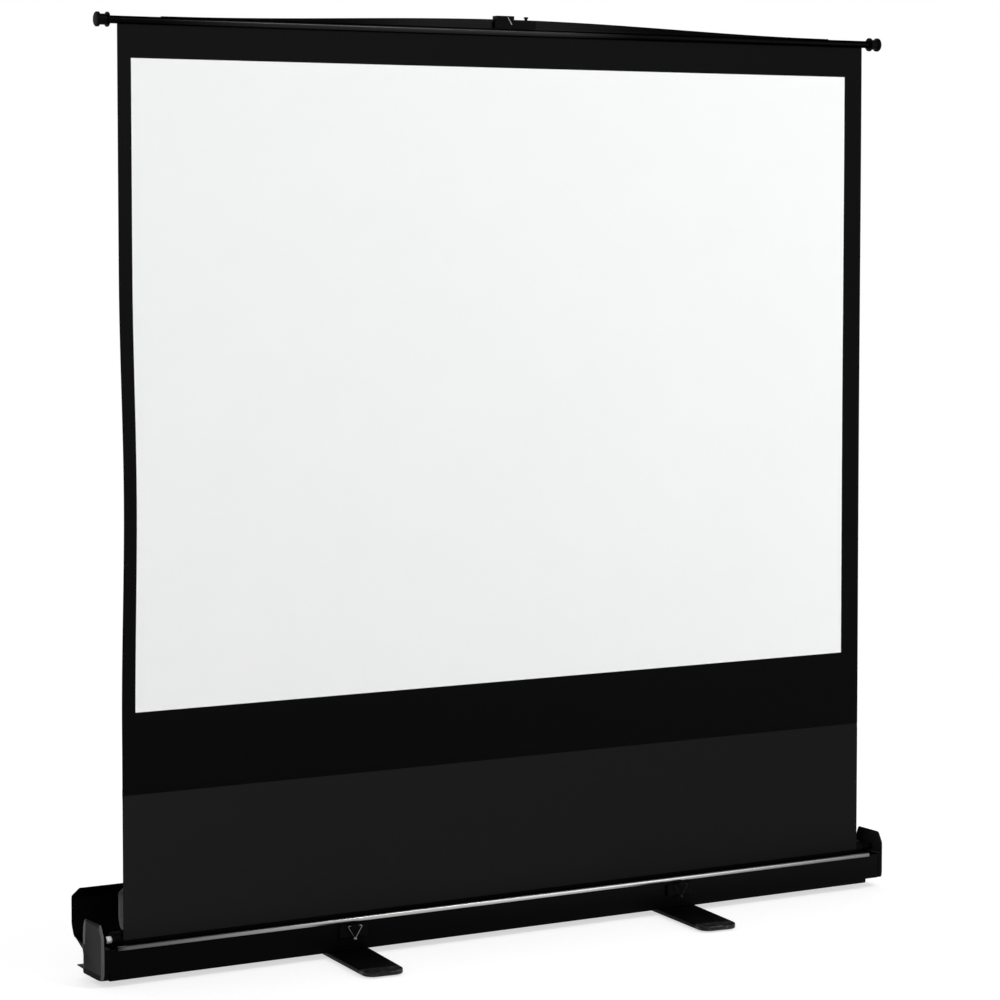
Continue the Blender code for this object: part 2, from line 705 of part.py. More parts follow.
def build_lid():
    """The lid: one folded sheet over the whole length, standing open behind the cloth."""
    return take(strip(inset(LID, SHEET / 2), 2 * HALF, 0, SHEET), "lid", CASE_BLACK)


def build_lid_pad(side):
    """A foam strip inside the lid that steadies the batten when the case is shut."""
    line = inset(LID, SHEET + FIT + FOAM_THICKNESS / 2)
    start = between(line[0], line[1], FOAM_SHARES[0])
    end = between(line[3], line[4], FOAM_SHARES[1])
    pad = strip([start] + line[1:4] + [end], FOAM_WIDTH, side * (HALF - FOAM_INSET), FOAM_THICKNESS)
    return take(pad, sided("lid_pad", side), FOAM)


def build_lid_keeper(side):
    """The hooked strike on the lid's lip that a latch wire catches."""
    outline = [(0, 0), (KEEPER_LENGTH, 0), (KEEPER_LENGTH, KEEPER_BASE), (KEEPER_HOOK, KEEPER_BASE),
               (KEEPER_HOOK - KEEPER_SLANT, KEEPER_HEIGHT), (KEEPER_SLANT, KEEPER_HEIGHT)]
    keeper = slab([outline], KEEPER_WIDTH, (side * LATCH_OFFSET, *lid_point(3, KEEPER_SHARE, -FIT)), 'X')
    upright = Matrix(((0, 0, 1), (1, 0, 0), (0, 1, 0)))
    tilt = Matrix.Rotation(atan2(-LID_LIP_RISE, LID_LIP_DEPTH), 3, 'X')
    keeper.rotation_euler = (tilt @ upright).to_euler()
    return take(keeper, sided("lid_keeper", side), BRIGHT_STEEL)


def build_handle_mount(side):
    """A bored block on the lid that carries one end of the handle."""
    x, half = side * HANDLE_WIDTH / 2, MOUNT_WIDTH / 2
    mount = box((x - half, LID_FACE, HANDLE_HEIGHT - MOUNT_HEIGHT / 2),
                (x + half, LID_FACE + MOUNT_DEPTH, HANDLE_HEIGHT + MOUNT_HEIGHT / 2))
    soften(mount, MOUNT_EDGE, 1)
    reach = MOUNT_WIDTH + OVERRUN
    middle = (x + side * (HANDLE_START + OVERRUN - reach), LID_FACE + HANDLE_OUT, HANDLE_HEIGHT)
    combine(mount, rod(HANDLE_WIRE + FIT, 2 * reach, middle, sides=16))
    return take(mount, sided("handle_mount", side), BLACK_PLASTIC)


def build_handle():
    """A wire bow that hangs from its two mounts, with a moulded grip."""
    y, half = LID_FACE + HANDLE_OUT, HANDLE_WIDTH / 2
    bottom = HANDLE_HEIGHT - HANDLE_DROP
    shoulder = -half + HANDLE_STRAIGHT + HANDLE_START
    side_line = ([(-half - HANDLE_START, HANDLE_HEIGHT)]
                 + arc((shoulder, HANDLE_HEIGHT - HANDLE_BEND), HANDLE_BEND, 90, 0, 3)
                 + arc((shoulder + 2 * HANDLE_BEND, bottom + HANDLE_BEND), HANDLE_BEND, 180, 270, 3))
    path = [(x, y, z) for x, z in side_line] + [(-x, y, z) for x, z in reversed(side_line)]
    bow = wire(path, HANDLE_WIRE, 2)
    smooth(bow)
    take(bow, "carry_handle", BRIGHT_STEEL)
    move_origin(bow, (0, y, HANDLE_HEIGHT))
    reach = -shoulder - 2 * HANDLE_BEND - GRIP_INSET
    grip = tube(GRIP_RADIUS, HANDLE_WIRE + FIT, reach, (0, y, bottom), 20)
    return take(grip, "handle_grip", BLACK_PLASTIC)


# Latches

def build_latch(side):
    """A block on the front wall with the wire bail that pulls the lid shut."""
    x, back = side * LATCH_OFFSET, FRONT - FIT
    top, half = FRONT_TOP - LATCH_BLOCK_DROP, LATCH_BLOCK_WIDTH / 2
    y, z = back - BAIL_OUT, top - BAIL_DROP
    block = box((x - half, back - LATCH_BLOCK_DEPTH, top - LATCH_BLOCK_HEIGHT), (x + half, back, top))
    soften(block, LATCH_EDGE, 1)
    lug = box((x - LUG_WIDTH / 2, y - LUG_RADIUS, z - LUG_RADIUS),
              (x + LUG_WIDTH / 2, back - OVERRUN, z + LUG_RADIUS))
    combine(block, lug, 'UNION')
    combine(block, rod(BAIL_WIRE + FIT, LUG_WIDTH + 2 * OVERRUN, (x, y, z), sides=12))
    take(block, sided("latch_block", side), BLACK_PLASTIC)
    straight = BAIL_HALF_WIDTH - BAIL_BEND
    half_path = [(BAIL_BEND, z), (straight, z), (BAIL_HALF_WIDTH, z - BAIL_DROP)]
    path = ([(x - dx, y, height) for dx, height in half_path] + [(x, y, z - BAIL_FALL)]
            + [(x + dx, y, height) for dx, height in reversed(half_path)])
    bail = wire(path, BAIL_WIRE, 2)
    bpy.ops.mesh.primitive_uv_sphere_add(segments=16, ring_count=10, radius=BALL_RADIUS,
                                         location=(x, y, z - BAIL_FALL))
    combine(bail, bpy.context.object, 'UNION')
    take(bail, sided("latch_bail", side), BRIGHT_STEEL)
    return move_origin(bail, (x, y, z))


# Feet

def build_foot(side):
    """A flat bar under the case that swivels on its rivet, with a rubber pad at each end."""
    root, tip = FOOT_ROOT_WIDTH / 2, FOOT_TIP_WIDTH / 2 - FOOT_CORNER
    turn = FOOT_CORNER - FOOT_REACH
    front = arc((tip, turn), FOOT_CORNER, 0, -90, 4) + arc((-tip, turn), FOOT_CORNER, -90, -180, 4)
    outline = [(root, 0)] + front + [(-root, 0)] + [(-x, -y) for x, y in front]
    place = (side * FOOT_SPACING / 2, 0, PAD_HEIGHT + FIT + FOOT_THICKNESS / 2)
    foot = slab([outline], FOOT_THICKNESS, place, 'Z')
    foot.rotation_euler = (0, 0, FOOT_LEAN)
    soften(foot, FOOT_EDGE)
    combine(foot, rod(RIVET_RADIUS, FOOT_THICKNESS + 2 * OVERRUN, place, axis='Z', sides=20))
    take(foot, sided("foot", side), CASE_BLACK)
    for end, word in ((-1, "_front"), (1, "_rear")):
        along = end * (FOOT_REACH - PAD_INSET)
        spot = (place[0] - sin(FOOT_LEAN) * along, cos(FOOT_LEAN) * along, PAD_HEIGHT / 2)
        take(rod(PAD_RADIUS, PAD_HEIGHT, spot, axis='Z', sides=28), sided("foot_pad", side) + word, RUBBER)
    return foot


def build_foot_pivot(side):
    """The rivet that holds a foot to the tray floor."""
    seat, foot = TRAY_FLOOR + FIT, PAD_HEIGHT
    top = seat + RIVET_HEAD_HEIGHT
    shank = RIVET_RADIUS - FIT
    profile = [(0, top), (RIVET_HEAD_RADIUS - RIVET_CHAMFER, top), (RIVET_HEAD_RADIUS, top - RIVET_CHAMFER),
               (RIVET_HEAD_RADIUS, seat), (shank, seat), (shank, foot), (RIVET_FOOT_RADIUS, foot),
               (RIVET_FOOT_RADIUS, foot - RIVET_FOOT_HEIGHT), (0, foot - RIVET_FOOT_HEIGHT)]
    pivot = turned(profile, (side * FOOT_SPACING / 2, 0, 0), 'Z', 20)
    return take(pivot, sided("foot_pivot", side), BRIGHT_STEEL)


# Roller and cloth

def build_roller():
    """The roller tube with its end plugs and the last turns of cloth."""
    centre = (0, ROLLER_Y, ROLLER_HEIGHT)
    inner, bore = ROLLER_RADIUS - ROLLER_WALL, AXLE_RADIUS + FIT
    take(tube(ROLLER_RADIUS, inner, ROLLER_HALF, centre, 28), "roller_tube", BATTEN_BLACK)
    take(tube(WRAP_RADIUS, ROLLER_RADIUS + FIT, CLOTH_HALF, centre, 28), "cloth_roll", LOWER_CLOTH)
    for side in (-1, 1):
        profile = [(bore, PLUG_FLANGE), (ROLLER_RADIUS, PLUG_FLANGE), (ROLLER_RADIUS, FIT),
                   (inner - FIT, FIT), (inner - FIT, -PLUG_DEPTH), (bore, -PLUG_DEPTH)]
        plug = turned(handed(profile, side), (side * ROLLER_HALF, ROLLER_Y, ROLLER_HEIGHT), 'X', 20)
        take(plug, sided("roller_plug", side), BLACK_PLASTIC)


def build_axle(side, inner_end, name):
    """A fixed axle from the end cap into the roller, and the ring on it that keeps the roller in place."""
    tip = INNER_HALF + AXLE_SEAT
    half = COLLAR_RING_WIDTH / 2
    centre = (side * (INNER_HALF - COLLAR_RING_GAP - half), ROLLER_Y, ROLLER_HEIGHT)
    collar = tube(COLLAR_RING_RADIUS, AXLE_RADIUS + FIT, half, centre, 20)
    take(collar, sided("axle_collar", side), WHITE_NYLON)
    middle = (side * (tip + inner_end) / 2, ROLLER_Y, ROLLER_HEIGHT)
    return take(rod(AXLE_RADIUS, tip - inner_end, middle, sides=20), name, BRIGHT_STEEL)


def build_spring():
    """The torsion spring in the roller: its first turn hugs the arbor and its last reaches the tube."""
    steps = SPRING_TURNS * SPRING_STEPS
    on_arbor = AXLE_RADIUS + FIT + SPRING_WIRE
    on_tube = ROLLER_RADIUS - ROLLER_WALL - FIT - SPRING_WIRE
    path = []
    for i in range(steps + 1):
        first_turn, last_turn = max(0, 1 - i / SPRING_STEPS), max(0, 1 - (steps - i) / SPRING_STEPS)
        coil = SPRING_RADIUS + (on_arbor - SPRING_RADIUS) * first_turn + (on_tube - SPRING_RADIUS) * last_turn
        angle = 2 * pi * i / SPRING_STEPS
        path.append((SPRING_INSET - ROLLER_HALF + SPRING_LENGTH * i / steps,
                     ROLLER_Y + coil * cos(angle), ROLLER_HEIGHT + coil * sin(angle)))
    return take(wire(path, SPRING_WIRE, 1), "roller_spring", BRIGHT_STEEL)


def build_cloth():
    """White picture panel, the black border round it and the black cloth below the seam."""
    y0, y1 = CLOTH_Y - CLOTH_THICKNESS / 2, CLOTH_Y + CLOTH_THICKNESS / 2
    left, right = LEFT_BORDER - CLOTH_HALF, CLOTH_HALF - RIGHT_BORDER
    panel = box((left + PANEL_GAP, y0, PICTURE_BOTTOM + PANEL_GAP),
                (right - PANEL_GAP, y1, PICTURE_TOP - PANEL_GAP))
    take(panel, "picture_panel", WHITE_CLOTH)
    border = box((-CLOTH_HALF, y0, SEAM_HEIGHT), (CLOTH_HALF, y1, HEM_HEIGHT - FIT))
    window = box((left - PANEL_GAP, y0 - OVERRUN, PICTURE_BOTTOM - PANEL_GAP),
                 (right + PANEL_GAP, y1 + OVERRUN, PICTURE_TOP + PANEL_GAP))
    take(combine(border, window), "mask_border", BORDER_CLOTH)
    lower = box((-CLOTH_HALF, y0, ROLLER_HEIGHT), (CLOTH_HALF, y1, SEAM_HEIGHT - FIT))
    return take(lower, "extension_cloth", LOWER_CLOTH)


# Batten

def build_knob(side):
    """A turned end knob: rim, waist and flange, with a spigot into the tube."""
    end, rim, r = KNOB_LENGTH + FIT, KNOB_LENGTH - KNOB_ROUND - KNOB_RIM, KNOB_RADIUS
    waist, neck = r * KNOB_WAIST_SHARE, r * KNOB_NECK_SHARE
    spigot, flange = BATTEN_RADIUS - BATTEN_WALL - FIT, KNOB_FLANGE + KNOB_FLANGE_WIDTH
    profile = [(0, end), (r * KNOB_END_SHARE, end), (r, KNOB_LENGTH - KNOB_ROUND), (r, rim),
               (waist, rim - KNOB_SLOPE), (waist, flange), (r, flange), (r, KNOB_FLANGE), (neck, KNOB_FLANGE),
               (neck, FIT), (spigot, FIT), (spigot, -KNOB_SPIGOT), (0, -KNOB_SPIGOT)]
    knob = turned(handed(profile, side), (side * BATTEN_HALF, CLOTH_Y, BATTEN_HEIGHT), 'X', 24)
    return take(knob, sided("batten_knob", side), BLACK_PLASTIC)


def build_batten():
    """Top tube and the stiffener on it, a smooth bell that is highest in the middle."""
    inner = BATTEN_RADIUS - BATTEN_WALL
    batten = tube(BATTEN_RADIUS, inner, BATTEN_HALF, (0, CLOTH_Y, BATTEN_HEIGHT), 24)
    take(batten, "batten_tube", BATTEN_BLACK)
    outline = [(-CROWN_HALF, CROWN_BASE), (CROWN_HALF, CROWN_BASE)]
    for i in range(CROWN_STEPS + 1):
        along = 1 - 2 * i / CROWN_STEPS
        rise = CROWN_RISE * (1 + cos(pi * along)) / 2
        outline.append((CROWN_HALF * along, CROWN_BASE + CROWN_EDGE + rise))
    crown = slab([outline], CROWN_THICKNESS, (0, CLOTH_Y, 0), 'Y')
    return take(crown, "batten_crown", BATTEN_BLACK)


def build_catch():
    """Bracket at the middle of the batten, astride the stiffener, with the pocket for the mast head."""
    base, step_top = CROWN_BASE + FIT, CROWN_CREST + STEP_RISE
    top = base + CATCH_HEIGHT
    saddle = box((-CATCH_LEFT, CLOTH_Y - CATCH_FRONT, base), (CATCH_RIGHT, CLOTH_Y + CATCH_BACK, top))
    combine(saddle, box((-STEP_LEFT, CLOTH_Y - STEP_FRONT, base + OVERRUN),
                        (-STEP_RIGHT, CLOTH_Y + STEP_BACK, step_top)), 'UNION')
    half, depth = TONGUE_WIDTH / 2 + POCKET_GAP, TONGUE_DEPTH + 2 * POCKET_GAP
    front = TONGUE_Y - POCKET_GAP
    pocket_front, pocket_low = CLOTH_Y + BATTEN_RADIUS + BATTEN_GAP, HEAD_BOTTOM + ARM_HEIGHT + BATTEN_GAP
    combine(saddle, box((-half - POCKET_SIDE, pocket_front, pocket_low),
                        (half + POCKET_SIDE, front + depth + POCKET_WALL, top - POCKET_ROOF)), 'UNION')
    slot, reach = CROWN_THICKNESS / 2 + FIT, CATCH_LEFT + OVERRUN
    combine(saddle, box((-reach, CLOTH_Y - slot, base - OVERRUN), (reach, CLOTH_Y + slot, CROWN_CREST + FIT)))
    roof = HEAD_BOTTOM + TONGUE_TOP + POCKET_ROOF
    combine(saddle, box((-half, front, HEAD_BOTTOM), (half, front + depth, roof)))
    floor = base + PIN_FLOOR
    mouth = (PIN_OFFSET, CLOTH_Y + PIN_SETBACK, top)
    combine(saddle, rod(PIN_RADIUS + FIT, 2 * (top - floor), mouth, axis='Z', sides=16))
    return take(saddle, "catch_bracket", BLACK_PLASTIC)


def build_release_pin():
    """The headed pin that is pressed to free the mast head."""
    low, top = CROWN_BASE + FIT + PIN_FLOOR + PIN_TRAVEL + POCKET_GAP, CROWN_CREST + STEP_RISE
    neck = top - PIN_HEAD_HEIGHT
    profile = [(0, top), (PIN_HEAD_RADIUS - PIN_CHAMFER, top), (PIN_HEAD_RADIUS, top - PIN_CHAMFER),
               (PIN_HEAD_RADIUS, neck), (PIN_RADIUS, neck), (PIN_RADIUS, low), (0, low)]
    pin = turned(profile, (PIN_OFFSET, CLOTH_Y + PIN_SETBACK, 0), 'Z', 16)
    return take(pin, "release_pin", BRIGHT_STEEL)


# Mast

def mast_size(step):
    """Width and depth of one tube of the mast, counted from the lowest."""
    smaller = 2 * step * (MAST_WALL + SLIDE_GAP)
    return MAST_WIDTH - smaller, MAST_DEPTH - smaller


def build_mast_tube(step, low, high, name):
    """One flat tube of the mast, open through its length."""
    width, depth = mast_size(step)
    outer = rounded_rectangle(width, depth, MAST_CORNER)
    inner = rounded_rectangle(width - 2 * MAST_WALL, depth - 2 * MAST_WALL, MAST_CORNER - MAST_WALL)
    return take(slab([outer, inner], high - low, (0, MAST_Y, (low + high) / 2), 'Z'), name, BARE_ALUMINIUM)


def build_collar(step, tube_top, word):
    """A clamp collar on top of a mast tube, with two ears at the back for its cam lever."""
    width, depth = mast_size(step)
    next_width, next_depth = mast_size(step + 1)
    high, back = tube_top + COLLAR_LIP, MAST_Y + depth / 2 + COLLAR_WALL
    outline = rounded_rectangle(width + 2 * COLLAR_SIDE, depth + 2 * COLLAR_WALL, COLLAR_CORNER)
    collar = slab([outline], COLLAR_HEIGHT, (0, MAST_Y, high - COLLAR_HEIGHT / 2), 'Z')
    for side in (-1, 1):
        x, half = side * EAR_OFFSET, EAR_THICKNESS / 2
        ear = box((x - half, back - OVERRUN, high - EAR_DROP - EAR_HEIGHT),
                  (x + half, back + EAR_REACH, high - EAR_DROP))
        combine(collar, ear, 'UNION')
    seat = slab([rounded_rectangle(width + 2 * FIT, depth + 2 * FIT, MAST_CORNER)], COLLAR_HEIGHT,
                (0, MAST_Y, tube_top + FIT - COLLAR_HEIGHT / 2), 'Z')
    combine(collar, seat)
    way = rounded_rectangle(next_width + 2 * SLIDE_GAP, next_depth + 2 * SLIDE_GAP, MAST_CORNER)
    combine(collar, slab([way], 2 * COLLAR_HEIGHT, (0, MAST_Y, high), 'Z'))
    pivot = (0, back + CAM_OUT, high - CAM_DROP)
    span = 2 * (EAR_OFFSET + EAR_THICKNESS)
    combine(collar, rod(CAM_PIN_RADIUS + FIT, span, pivot, sides=16))
    take(collar, word + "_collar", BLACK_PLASTIC)
    return build_clamp_lever(pivot, back, high - COLLAR_HEIGHT, word)


def build_clamp_lever(pivot, back, low, word):
    """A cam on its cross pin, with a flat lever that hangs down the back of the collar."""
    front = back + LEVER_GAP
    cam = rod(CAM_RADIUS, CAM_WIDTH, pivot, sides=24)
    lever = box((-CAM_WIDTH / 2, front, low + LEVER_GAP), (CAM_WIDTH / 2, front + LEVER_THICKNESS, pivot[2]))
    combine(cam, lever, 'UNION')
    pin_length = 2 * EAR_OFFSET + EAR_THICKNESS + 2 * FIT
    combine(cam, rod(CAM_PIN_RADIUS, pin_length, pivot, sides=16), 'UNION')
    return take(cam, word + "_clamp_lever", BLACK_PLASTIC)


def build_socket():
    """The block in the tray that holds the foot of the mast, and the bolt across both."""
    back, front = REAR - SHEET - FIT, MAST_Y - SOCKET_FRONT
    half = SOCKET_WIDTH / 2
    socket = box((-half, front, TRAY_FLOOR + FIT), (half, back, TRAY_FLOOR + SOCKET_HEIGHT))
    soften(socket, MOULDED_EDGE, 1)
    seat = TRAY_FLOOR + SOCKET_FLOOR
    outline = rounded_rectangle(MAST_WIDTH + 2 * FIT, MAST_DEPTH + 2 * FIT, MAST_CORNER)
    combine(socket, slab([outline], 2 * SOCKET_HEIGHT, (0, MAST_Y, seat + SOCKET_HEIGHT), 'Z'))
    height, length = TRAY_FLOOR + BOLT_RISE, 2 * (back - front)
    for piece in (socket, bpy.data.objects["mast_lower_tube"]):
        combine(piece, rod(BOLT_RADIUS + FIT, length, (0, MAST_Y, height), axis='Y', sides=16))
    take(socket, "mast_socket", BLACK_PLASTIC)
    end, face = back - FIT, front - FIT
    profile = [(0, end), (BOLT_RADIUS, end), (BOLT_RADIUS, face), (BOLT_HEAD_RADIUS, face),
               (BOLT_HEAD_RADIUS, face - BOLT_HEAD_HEIGHT), (0, face - BOLT_HEAD_HEIGHT)]
    return take(turned(profile, (0, 0, height), 'Y', 16), "mast_bolt", BRIGHT_STEEL)


def build_mast_head():
    """The head on the upper tube: spigot, body, arm and the tongue that lifts the batten's catch."""
    width, depth = mast_size(2)
    inside = MAST_WALL + HEAD_SPIGOT_GAP
    half, tongue = HEAD_WIDTH / 2, TONGUE_WIDTH / 2
    head = box((-half, MAST_Y - HEAD_DEPTH / 2, HEAD_BOTTOM),
               (half, MAST_Y + HEAD_DEPTH / 2, HEAD_BOTTOM + HEAD_HEIGHT))
    soften(head, MOULDED_EDGE, 1)
    combine(head, box((-tongue, TONGUE_Y, HEAD_BOTTOM), (tongue, MAST_Y, HEAD_BOTTOM + ARM_HEIGHT)), 'UNION')
    combine(head, box((-tongue, TONGUE_Y, HEAD_BOTTOM + OVERRUN),
                      (tongue, TONGUE_Y + TONGUE_DEPTH, HEAD_BOTTOM + TONGUE_TOP)), 'UNION')
    combine(head, box((inside - width / 2, MAST_Y - depth / 2 + inside, HEAD_BOTTOM - HEAD_SPIGOT),
                      (width / 2 - inside, MAST_Y + depth / 2 - inside, HEAD_BOTTOM + OVERRUN)), 'UNION')
    return take(head, "mast_head", BLACK_PLASTIC)


def build_mast():
    """Three telescoping tubes with their collars, socket and head."""
    build_mast_tube(0, TRAY_FLOOR + SOCKET_FLOOR + FIT, LOWER_TOP, "mast_lower_tube")
    build_mast_tube(1, LOWER_TOP - TUBE_OVERLAP, MIDDLE_TOP, "mast_middle_tube")
    build_mast_tube(2, MIDDLE_TOP - TUBE_OVERLAP, HEAD_BOTTOM - FIT, "mast_upper_tube")
    build_collar(0, LOWER_TOP, "lower")
    build_collar(1, MIDDLE_TOP, "middle")
    build_socket()
    return build_mast_head()


build_tray()
build_front_trim()
build_case_leaf()
build_lid_leaf()
build_hinge_pin()
build_lid()
build_handle()
for hand in (-1, 1):
    build_end_cap(hand)
    build_lid_pad(hand)
    build_lid_keeper(hand)
    build_handle_mount(hand)
    build_latch(hand)
    build_foot(hand)
    build_foot_pivot(hand)
    build_knob(hand)
build_roller()
build_axle(1, ROLLER_HALF - AXLE_REACH, "axle_right")
build_axle(-1, ROLLER_HALF - SPRING_INSET - SPRING_LENGTH - ARBOR_PAST, "spring_arbor_left")
build_spring()
build_cloth()
build_batten()
build_catch()
build_release_pin()
build_mast()
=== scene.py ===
import bpy
from math import atan2, copysign, cos, hypot, pi, radians, sin
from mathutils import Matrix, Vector


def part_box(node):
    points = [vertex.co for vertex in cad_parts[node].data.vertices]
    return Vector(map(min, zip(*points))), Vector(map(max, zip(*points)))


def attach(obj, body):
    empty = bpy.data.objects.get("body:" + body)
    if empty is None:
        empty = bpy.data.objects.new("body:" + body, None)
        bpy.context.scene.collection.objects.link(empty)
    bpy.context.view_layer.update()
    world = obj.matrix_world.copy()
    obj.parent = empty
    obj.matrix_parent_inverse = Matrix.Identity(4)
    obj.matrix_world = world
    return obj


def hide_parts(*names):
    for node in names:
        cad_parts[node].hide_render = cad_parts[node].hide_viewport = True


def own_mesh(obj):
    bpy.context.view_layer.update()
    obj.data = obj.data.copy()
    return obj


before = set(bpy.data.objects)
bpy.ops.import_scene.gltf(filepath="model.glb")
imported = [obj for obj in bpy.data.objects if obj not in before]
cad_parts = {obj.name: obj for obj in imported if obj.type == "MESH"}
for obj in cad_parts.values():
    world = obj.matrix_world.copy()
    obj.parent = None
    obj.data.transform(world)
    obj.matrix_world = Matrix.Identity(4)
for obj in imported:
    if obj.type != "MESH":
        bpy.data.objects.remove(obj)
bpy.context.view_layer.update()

# Camera
# The photograph is taken with a long lens from the front left, at about chest height, and its upright edges
# stay parallel. A little shift and a little downward tilt share the work here.
camera_data = bpy.data.cameras.new("front_left_camera")
camera = bpy.data.objects.new("front_left_camera", camera_data)
bpy.context.scene.collection.objects.link(camera)
camera.location = (-3.1495, -5.4135, 1.4393)
camera.rotation_euler = (pi / 2 + radians(-3.366), 0, radians(-30.016))
camera_data.sensor_width = 36
camera_data.lens = 113.14
camera_data.shift_y = -0.10
camera_data.clip_end = 100
bpy.context.scene.camera = camera
bpy.context.scene.view_settings.view_transform = 'Standard'

# Studio
# A pale floor that keeps the soft shadow of the object and runs out into white, a white surround that is
# dimmer overhead, and large soft lamps at a plain level.


def node_setup(owner):
    """Empty the node tree of a material or world and hand back its nodes and links."""
    owner.use_nodes = True
    owner.node_tree.nodes.clear()
    return owner.node_tree.nodes, owner.node_tree.links


def seen_directly(nodes, links):
    """1 for rays from the camera, and for those by way of metal or glass."""
    path = nodes.new('ShaderNodeLightPath')
    largest = path.outputs['Is Camera Ray']
    for kind in ('Is Glossy Ray', 'Is Transmission Ray'):
        either = nodes.new('ShaderNodeMath')
        either.operation = 'MAXIMUM'
        links.new(largest, either.inputs[0])
        links.new(path.outputs[kind], either.inputs[1])
        largest = either.outputs[0]
    return largest


def ramp(nodes, links, value, start, end, low=0.0, high=1.0, kind='LINEAR'):
    """A value turned into one that goes from low at start to high at end."""
    change = nodes.new('ShaderNodeMapRange')
    change.interpolation_type = kind
    for socket, number in (('From Min', start), ('From Max', end), ('To Min', low), ('To Max', high)):
        change.inputs[socket].default_value = number
    links.new(value, change.inputs['Value'])
    return change.outputs['Result']


bpy.ops.mesh.primitive_plane_add(size=60)
floor = bpy.context.object
floor.name = "floor"
floor_material = bpy.data.materials.new("pale_floor")
nodes, links = node_setup(floor_material)
floor_matt = nodes.new('ShaderNodeBsdfDiffuse')
floor_matt.inputs['Color'].default_value = (0.80, 0.80, 0.80, 1)
floor_shade = nodes.new('ShaderNodeBsdfDiffuse')
floor_shade.inputs['Color'].default_value = (0.55, 0.55, 0.55, 1)
floor_lift = nodes.new('ShaderNodeEmission')
floor_lift.inputs['Strength'].default_value = 0.62
floor_near = nodes.new('ShaderNodeAddShader')
floor_far = nodes.new('ShaderNodeEmission')
floor_run_out = nodes.new('ShaderNodeMixShader')
floor_mix = nodes.new('ShaderNodeMixShader')
floor_out = nodes.new('ShaderNodeOutputMaterial')
floor_place = nodes.new('ShaderNodeTexCoord')
floor_distance = nodes.new('ShaderNodeVectorMath')
floor_distance.operation = 'LENGTH'
links.new(floor_place.outputs['Object'], floor_distance.inputs[0])
links.new(floor_shade.outputs[0], floor_near.inputs[0])
links.new(floor_lift.outputs[0], floor_near.inputs[1])
links.new(ramp(nodes, links, floor_distance.outputs['Value'], 1.6, 3.6, kind='SMOOTHSTEP'),
          floor_run_out.inputs[0])
links.new(floor_near.outputs[0], floor_run_out.inputs[1])
links.new(floor_far.outputs[0], floor_run_out.inputs[2])
links.new(seen_directly(nodes, links), floor_mix.inputs[0])
links.new(floor_matt.outputs[0], floor_mix.inputs[1])
links.new(floor_run_out.outputs[0], floor_mix.inputs[2])
links.new(floor_mix.outputs[0], floor_out.inputs['Surface'])
floor.data.materials.append(floor_material)

world = bpy.data.worlds.new("white_surround")
bpy.context.scene.world = world
nodes, links = node_setup(world)
surround_seen = nodes.new('ShaderNodeBackground')
surround_light = nodes.new('ShaderNodeBackground')
surround_light.inputs['Strength'].default_value = 0.42
surround_mix = nodes.new('ShaderNodeMixShader')
surround_out = nodes.new('ShaderNodeOutputWorld')
surround_place = nodes.new('ShaderNodeTexCoord')
surround_height = nodes.new('ShaderNodeSeparateXYZ')
links.new(surround_place.outputs['Generated'], surround_height.inputs[0])
links.new(ramp(nodes, links, surround_height.outputs['Z'], 0.30, 0.80, 1.0, 0.25),
          surround_seen.inputs['Strength'])
for background in (surround_seen, surround_light):
    background.inputs['Color'].default_value = (1, 1, 1, 1)
links.new(seen_directly(nodes, links), surround_mix.inputs[0])
links.new(surround_light.outputs[0], surround_mix.inputs[1])
links.new(surround_seen.outputs[0], surround_mix.inputs[2])
links.new(surround_mix.outputs[0], surround_out.inputs['Surface'])


def soft_lamp(name, place, target, size, power):
    """A square area lamp that faces a point and isn't seen itself."""
    lamp = bpy.data.lights.new(name, 'AREA')
    lamp.size = size
    lamp.energy = power
    lamp_object = bpy.data.objects.new(name, lamp)
    bpy.context.scene.collection.objects.link(lamp_object)
    lamp_object.location = place
    lamp_object.rotation_euler = (Vector(target) - Vector(place)).to_track_quat('-Z', 'Y').to_euler()
    lamp_object.visible_camera = False


soft_lamp("key_front_left", (-3.6, -3.6, 3.6), (0, 0, 0.9), 2.6, 75)
soft_lamp("high_front_right", (1.9, -3.5, 4.5), (0, 0, 0.9), 0.8, 85)
soft_lamp("fill_right", (3.6, -3.8, 1.3), (0, 0, 0.8), 2.6, 60)
soft_lamp("top_rear", (0.5, 3.6, 3.4), (0, 0, 0.8), 2.4, 80)

# Case channel
# The floor and both walls of the case are one folded strip of aluminium, 2 mm thick and anodised black, with
# fine drawing lines along its length. The front wall is the taller one.
ALONG_X = (3, 900, 900)
CHANNEL_SHEET = 0.002
CHANNEL_BEND = 0.003
CUT_EDGE = 0.0003
BASE_END, BASE_STEP = 0.856, 0.0215          # the base stops short at the right end, and is this high beyond
OVERRUN = 0.005              # a cutting block passes the piece by this
NEARLY = 0.0002              # a place counts as on a plane within this


def grey(level, blue=None):
    """A neutral colour, or one with its own level of blue."""
    return level, level, level if blue is None else blue


def finish(name, colour, roughness, metallic=0.0, specular=0.5):
    """A Principled material with its plain values on the shader's own sockets."""
    material = bpy.data.materials.new(name)
    nodes, links = node_setup(material)
    shader = nodes.new('ShaderNodeBsdfPrincipled')
    shader.inputs['Base Color'].default_value = (*colour, 1)
    shader.inputs['Roughness'].default_value = roughness
    shader.inputs['Metallic'].default_value = metallic
    shader.inputs['Specular IOR Level'].default_value = specular
    out = nodes.new('ShaderNodeOutputMaterial')
    links.new(shader.outputs[0], out.inputs['Surface'])
    return material, nodes, links, shader


